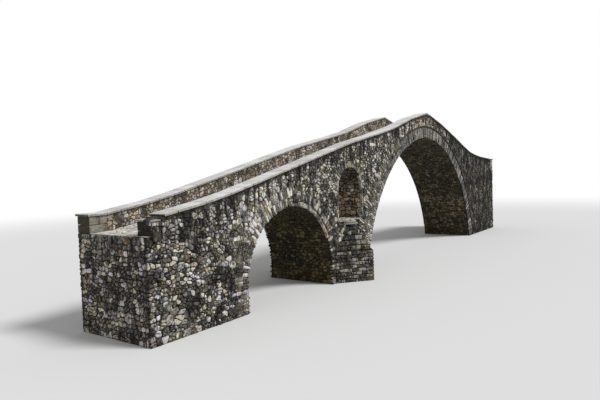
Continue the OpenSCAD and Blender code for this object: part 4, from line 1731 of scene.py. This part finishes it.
class FOOTBRIDGE_OT_cutwaters(bpy.types.Operator):
    """Lay both cutwaters and their stepped caps"""

    bl_idname = "footbridge.cutwaters"
    bl_label = "Cutwaters"

    # The stones' bed lies this far behind the cutwater's own faces
    sink = 0.035
    # How many courses the body and the cap have, and how far each of the cap's steps in
    body_courses, cap_courses = 9, 5
    cap_course = 0.19
    cap_step = (0.18, 0.15)
    # Half width, reach and thickness of the slab on the cap, and the gap under it
    slab = (0.52, 0.37, 0.08)
    slab_gap = 0.055
    # Half width and reach of the stone on the slab
    top_stone = (0.45, 0.30)
    # Length of a stone, the joint between two, and how far they overlap at a corner
    lengths, joint, overlap = (0.13, 0.34), 0.012, 0.05

    def courses(self):
        """Each course as its half width, its reach and its two levels, from the bottom up"""
        low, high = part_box("cutwater_far")
        half, out = (high.x - low.x) / 2, high.y - FACE
        cap_low, cap_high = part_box("cutwater_cap_far")
        levels = np.linspace(CLEAR, high.z, self.body_courses + 1)
        courses = [(half, out, z0, z1) for z0, z1 in zip(levels, levels[1:])]
        slab_foot = cap_low.z + self.cap_course * self.cap_courses
        levels = np.linspace(cap_low.z, slab_foot, self.cap_courses + 1)
        for k, (z0, z1) in enumerate(zip(levels, levels[1:]), 1):
            courses.append((half - k * self.cap_step[0], out - k * self.cap_step[1], z0, z1))
        slab_top = slab_foot + self.slab[2]
        slabs = [(*self.slab[:2], slab_foot + 0.015, slab_top), (*self.top_stone, slab_top, cap_high.z)]
        return courses, slabs

    def execute(self, context):
        courses, slabs = self.courses()
        for side, name in SIDES:
            masonry = Masonry(100 + side)
            core, top = bmesh.new(), bmesh.new()
            for k, (half, out, z0, z1) in enumerate(courses):
                in_cap = k >= self.body_courses
                under_slab = k == len(courses) - 1
                core_top = z1 + (0.016 if under_slab else -0.03 if in_cap else 0.0)
                cut_prism(core, half - 0.065, out - 0.05, side, z0 - CLEAR, core_top, 0, 0)
                length = math.hypot(half, out)
                stone_top = z1 - self.slab_gap if under_slab else z1
                for left in (True, False):
                    short = 0.0 if (k % 2 == 0) == left else self.overlap
                    start, end = (0.0, length - short) if left else (short, length)
                    x0, y0, x1, y1 = (-half, 0, 0, out) if left else (0, out, half, 0)
                    face = on_line(PIER_X + x0, FACE + y0, PIER_X + x1, FACE + y1, side, self.sink)
                    stones = coursed_stones(masonry.rng, start, end, z0, stone_top, self.lengths, self.joint)
                    masonry.lay(stones, face, (0.010, 0.026), 0.2 if in_cap else 0.07, 0.013,
                                even_tint(0.0, 1.0, 0.15, 0.15), flip=side == FAR, tilt=0.03)
            for half, out, z0, z1 in slabs:
                cut_prism(top, half, out, side, z0, z1, 0.012, 0.012)
            masonry.build(f"cutwater_stones_{name}", "Cutwater_stone", [f"cutwater_{name}"])
            block_piece(f"cutwater_core_{name}", core, "Wall_mortar")
            block_piece(f"cutwater_slabs_{name}", top, "Sill_slab", [f"cutwater_cap_{name}"])
        return {"FINISHED"}


class FOOTBRIDGE_OT_parapets(bpy.types.Operator):
    """Lay the inner faces of the parapets"""

    bl_idname = "footbridge.parapets"
    bl_label = "Parapets"

    # Usual length and height of a stone
    length, course = 0.17, 0.11
    # The stones keep this far off the deck and the copings
    off = 0.006

    def execute(self, context):
        end = RIGHT_PILLAR - CLEAR
        for side, name, pillar in ((NEAR, "near", NEAR_PILLAR_HIGH), (FAR, "far", FAR_PILLAR_HIGH)):
            masonry = Masonry(120 + side)
            box = (pillar.x + CLEAR, end, 0.0, PARAPET)
            sites = rubble_sites(masonry.rng, *box, self.length, self.course, 0.24)
            cells = box_cells(mixed_sizes(masonry.rng, sites), box, 0.02, 1.35, 0.018, self.off, self.off)

            def place(u, v, h):
                return u, side * (CORE - h), crest(u) - PARAPET + v

            masonry.lay(softened(trimmed(cells), masonry.rng), place, (0.006, 0.022), 0.06, WORN_EDGE,
                        even_tint(0, 1, 0.3), flip=side == NEAR)
            masonry.build(f"inner_stones_{name}", "Inner_stone")
        return {"FINISHED"}


class FOOTBRIDGE_OT_deck(bpy.types.Operator):
    """Lay the worn cobbles of the walkway"""

    bl_idname = "footbridge.deck"
    bl_label = "Walkway"

    # The cobbles end this far inside the parapets' faces and off the near pillar
    inside, off_pillar = 0.028, 0.012

    def execute(self, context):
        masonry = Masonry(140)
        size = stone_sizes().cobble
        sites = rubble_sites(masonry.rng, X_LEFT, X_RIGHT, -FACE, CORE, size * 1.15, size)
        edge = CORE - self.inside
        corner = NEAR_PILLAR_LOW.x - self.off_pillar
        left, right = X_LEFT + CLEAR, X_RIGHT - CLEAR

        def limits(u, v):
            """The walkway, and beside the near pillar's end the strip up to the wall's face"""
            if not X_LEFT + 0.02 < u < X_RIGHT - 0.02 or v > edge:
                return None
            if v > -edge:
                return box_limits(left, right, -FACE if u < corner - 0.1 else -edge, edge)
            if u < corner - 0.02 and v > -FACE + 0.03:
                return box_limits(left, corner, -FACE + 0.01, edge)
            return None

        def place(u, v, h):
            return u, v, crest(u) - PARAPET + h

        cells = stone_cells(sites, limits, lying(1.15, 0.018))
        masonry.lay(trimmed(cells), place, (0.006, 0.024), 0.05, 0.018, even_tint(0, 1, 0.3), tilt=0.04)
        masonry.build("deck_cobbles", "Deck_cobble")
        return {"FINISHED"}


class FOOTBRIDGE_OT_copings(bpy.types.Operator):
    """Set the coping slabs along both parapets"""

    bl_idname = "footbridge.copings"
    bl_label = "Copings"

    thick = 0.07
    # Half the joint between two slabs, and the length over which every other slab is split
    half_joint, long = 0.004, 0.8
    # Usual distance between the cuts along a slab that let its skin be uneven
    cut = 0.16

    def execute(self, context):
        for side, name in SIDES:
            rng = draws(160 + side)
            low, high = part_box(f"coping_{name}")
            bm = bmesh.new()
            for x0, z0, x1, z1 in coping_slabs(f"coping_{name}"):
                slope = (z1 - z0) / (x1 - x0)
                ends = [x0, x1]
                if x1 - x0 > self.long and rng.random() < 0.5:
                    split = x0 + (x1 - x0) * rng.uniform(0.35, 0.65)
                    ends = [x0, split - self.half_joint, split + self.half_joint, x1]
                for a, b in zip(ends[0::2], ends[1::2]):
                    set_in = rng.uniform(0, 0.012, 2)
                    foot = z0 + slope * (a - x0)
                    cuts = (max(2, int((b - a) / self.cut)), 4, 1)
                    rough_block(bm, (a, low.y + set_in[0], foot), (b, high.y - set_in[1], foot + self.thick),
                                0.010, 0.006, cuts, slope)
            block_piece(f"coping_stones_{name}", bm, "Coping_slab", [f"coping_{name}"])
        return {"FINISHED"}


class FOOTBRIDGE_OT_pillars(bpy.types.Operator):
    """Set the dressed blocks of the end pillars"""

    bl_idname = "footbridge.pillars"
    bl_label = "End pillars"

    # Half the joint between two blocks
    half_joint = 0.002
    # Height of the near left pillar's foot over the deck's end, and the thickness of its cap
    foot, cap = 0.13, 0.055

    def set_plain(self, node):
        """A pillar of three blocks, in two courses"""
        low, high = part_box(node)
        bm = bmesh.new()
        bed = low.z + (high.z - low.z) * 0.48
        split = low.x + (high.x - low.x) * 0.55
        gap = self.half_joint
        for foot, head in ((low, (high.x, high.y, bed - gap)),
                           ((low.x, low.y, bed + gap), (split - gap, high.y, high.z)),
                           ((split + gap, low.y, bed + gap), high)):
            rough_block(bm, foot, head, 0.010, 0.010, (3, 3, 2))
        block_piece(f"{node}_blocks", bm, "Dressed_block", [node])

    def set_near_left(self):
        """The near left pillar: two blocks on a wider foot, under a thin cap"""
        low, high = NEAR_PILLAR_LOW, NEAR_PILLAR_HIGH
        cap_low, cap_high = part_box("pillar_cap_left_near")
        gap = self.half_joint
        foot = float(crest(X_LEFT)) - PARAPET + self.foot
        bed = cap_high.z - self.cap
        face = -FACE + CLEAR
        middle = (face + high.y) / 2
        bm = bmesh.new()
        for y0, y1 in ((face, middle - gap), (middle + gap, high.y)):
            rough_block(bm, (low.x, y0, foot + CLEAR), (high.x, y1, bed), 0.012, 0.010, (3, 3, 3))
        block_piece("pillar_left_near_blocks", bm, "Foot_block", ["pillar_left_near"])
        bm = bmesh.new()
        rough_block(bm, low, (high.x, high.y, foot), 0.012, 0.012, (3, 4, 2))
        block_piece("pillar_foot_block", bm, "Foot_block")
        bm = bmesh.new()
        rough_block(bm, (cap_low.x, cap_low.y, bed + gap), cap_high, 0.012, 0.010, (4, 6, 1))
        block_piece("pillar_cap_block", bm, "Cap_slab", ["pillar_cap_left_near"])

    def execute(self, context):
        for node in ("pillar_left_far", "pillar_right_near", "pillar_right_far"):
            self.set_plain(node)
        self.set_near_left()
        return {"FINISHED"}


class FOOTBRIDGE_OT_mortar(bpy.types.Operator):
    """Give the frame's own solids their mortar"""

    bl_idname = "footbridge.mortar"
    bl_label = "Mortar"

    # The finish of the nodes with these words in their names. The others have the walls' mortar.
    kinds = {"main_arch_ring": "Ring_mortar", "vault": "Vault_mortar", "parapet": "Parapet_mortar",
             "deck": "Deck_soil"}

    def execute(self, context):
        for name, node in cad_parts.items():
            kind = next((kind for word, kind in self.kinds.items() if word in name), "Wall_mortar")
            for slot in node.material_slots:
                slot.material = material(kind)
        return {"FINISHED"}


class FOOTBRIDGE_OT_stage(bpy.types.Operator):
    """Set the floor, the studio light and the camera"""

    bl_idname = "footbridge.stage"
    bl_label = "Stage"

    # The floor's width, how far it lies under the bridge's feet, and its colour
    floor_size, floor_drop, grey = 900.0, 0.002, (0.78, 0.78, 0.78, 1.0)
    # How far from the bridge's middle the floor starts to turn white, and is white
    fade = (26.0, 60.0)
    # The way towards the key light, and how wide it looks, in degrees
    key_from, key_width = (0.25, -0.60, 0.76), 18

    def show(self, g, seen, plain, white, output):
        """Feeds an output with one shader, and with a white one where it is seen"""
        both = g.add("ShaderNodeMixShader")
        for socket, value in zip(both.inputs, (seen, plain.outputs[0], white.outputs[0])):
            g.feed(socket, value)
        g.feed(output.inputs["Surface"], both.outputs[0])

    def floor(self):
        """A pale floor that turns white far out"""
        bm = bmesh.new()
        bmesh.ops.create_grid(bm, x_segments=1, y_segments=1, size=self.floor_size / 2)
        bmesh.ops.translate(bm, vec=(0, 0, -self.floor_drop), verts=bm.verts[:])
        floor = new_object("floor", new_mesh("floor", bm))
        made, g, shader = empty_material("Studio_floor")
        for name, value in (("Base Color", self.grey), ("Roughness", 0.95), ("Specular IOR Level", 0.0)):
            shader.inputs[name].default_value = value
        away = g.add("ShaderNodeVectorMath", operation="LENGTH")
        g.feed(away.inputs[0], g.place())
        path = g.add("ShaderNodeLightPath")
        seen = g.by(g.span(away.outputs["Value"], *self.fade), path.outputs["Is Camera Ray"])
        white = g.add("ShaderNodeEmission")
        self.show(g, seen, shader, white, made.node_tree.nodes["Material Output"])
        floor.data.materials.append(made)

    def lights(self, stage):
        """An even fill from all round and a broad key from the front right"""
        world = bpy.data.worlds.new("Studio")
        world.use_nodes = True
        g = Graph(world.node_tree)
        dim = world.node_tree.nodes["Background"]
        dim.inputs["Color"].default_value = WHITE
        dim.inputs["Strength"].default_value = stage.fill
        bright = g.add("ShaderNodeBackground")
        bright.inputs["Color"].default_value = WHITE
        path = g.add("ShaderNodeLightPath")
        seen = g.most(path.outputs["Is Camera Ray"], path.outputs["Is Glossy Ray"])
        seen = g.most(seen, path.outputs["Is Transmission Ray"])
        self.show(g, seen, dim, bright, world.node_tree.nodes["World Output"])
        bpy.context.scene.world = world
        key = bpy.data.lights.new("key", "SUN")
        key.energy = stage.key
        key.angle = math.radians(self.key_width)
        lamp = new_object("key", key)
        lamp.rotation_euler = Vector(self.key_from).to_track_quat("Z", "Y").to_euler()

    def camera(self, stage):
        """The camera at the photo's angle"""
        yaw, pitch, roll = stage.yaw, stage.pitch, stage.roll
        ahead = Vector((math.sin(yaw) * math.cos(pitch), math.cos(yaw) * math.cos(pitch), math.sin(pitch)))
        right = Vector((math.cos(yaw), -math.sin(yaw), 0.0))
        up = right.cross(ahead)
        right, up = right * math.cos(roll) + up * math.sin(roll), up * math.cos(roll) - right * math.sin(roll)
        data = bpy.data.cameras.new("camera")
        data.sensor_width = 36.0
        data.sensor_fit = "HORIZONTAL"
        data.lens = stage.focal
        data.clip_end = 2000.0
        camera = new_object("camera", data)
        turn = Matrix((right, up, -ahead)).transposed().to_4x4()
        camera.matrix_world = Matrix.Translation(stage.place) @ turn
        bpy.context.scene.camera = camera

    def execute(self, context):
        stage = context.scene.footbridge_stage
        context.scene.view_settings.view_transform = "Standard"
        self.floor()
        self.lights(stage)
        self.camera(stage)
        return {"FINISHED"}


OPERATORS = (
    FOOTBRIDGE_OT_side_walls, FOOTBRIDGE_OT_end_walls, FOOTBRIDGE_OT_main_arch, FOOTBRIDGE_OT_small_arch,
    FOOTBRIDGE_OT_relief_arch, FOOTBRIDGE_OT_cutwaters, FOOTBRIDGE_OT_parapets, FOOTBRIDGE_OT_deck,
    FOOTBRIDGE_OT_copings, FOOTBRIDGE_OT_pillars, FOOTBRIDGE_OT_mortar, FOOTBRIDGE_OT_stage,
)


class FOOTBRIDGE_PT_panel(bpy.types.Panel):
    """The pieces of the bridge and their sizes"""

    bl_idname = "FOOTBRIDGE_PT_panel"
    bl_label = "Footbridge"
    bl_space_type = "VIEW_3D"
    bl_region_type = "UI"
    bl_category = "Footbridge"

    def draw(self, context):
        for group in (arch_sizes(), stone_sizes(), context.scene.footbridge_stage):
            box = self.layout.box()
            for name in group.__annotations__:
                box.prop(group, name)
        for operator in OPERATORS:
            self.layout.operator(operator.bl_idname)


CLASSES = (ArchSizes, RubbleSizes, StageSettings, *OPERATORS, FOOTBRIDGE_PT_panel)


def register():
    for made in CLASSES:
        bpy.utils.register_class(made)
    bpy.types.Scene.footbridge_arches = PointerProperty(type=ArchSizes)
    bpy.types.Scene.footbridge_rubble = PointerProperty(type=RubbleSizes)
    bpy.types.Scene.footbridge_stage = PointerProperty(type=StageSettings)


def unregister():
    del bpy.types.Scene.footbridge_stage
    del bpy.types.Scene.footbridge_rubble
    del bpy.types.Scene.footbridge_arches
    for made in reversed(CLASSES):
        bpy.utils.unregister_class(made)


def main():
    """Lays every piece"""
    register()
    bpy.ops.footbridge.side_walls()
    bpy.ops.footbridge.end_walls()
    bpy.ops.footbridge.main_arch()
    bpy.ops.footbridge.small_arch()
    bpy.ops.footbridge.relief_arch()
    bpy.ops.footbridge.cutwaters()
    bpy.ops.footbridge.parapets()
    bpy.ops.footbridge.deck()
    bpy.ops.footbridge.copings()
    bpy.ops.footbridge.pillars()
    bpy.ops.footbridge.mortar()
    bpy.ops.footbridge.stage()
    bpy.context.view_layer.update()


if __name__ == "__main__":
    main()
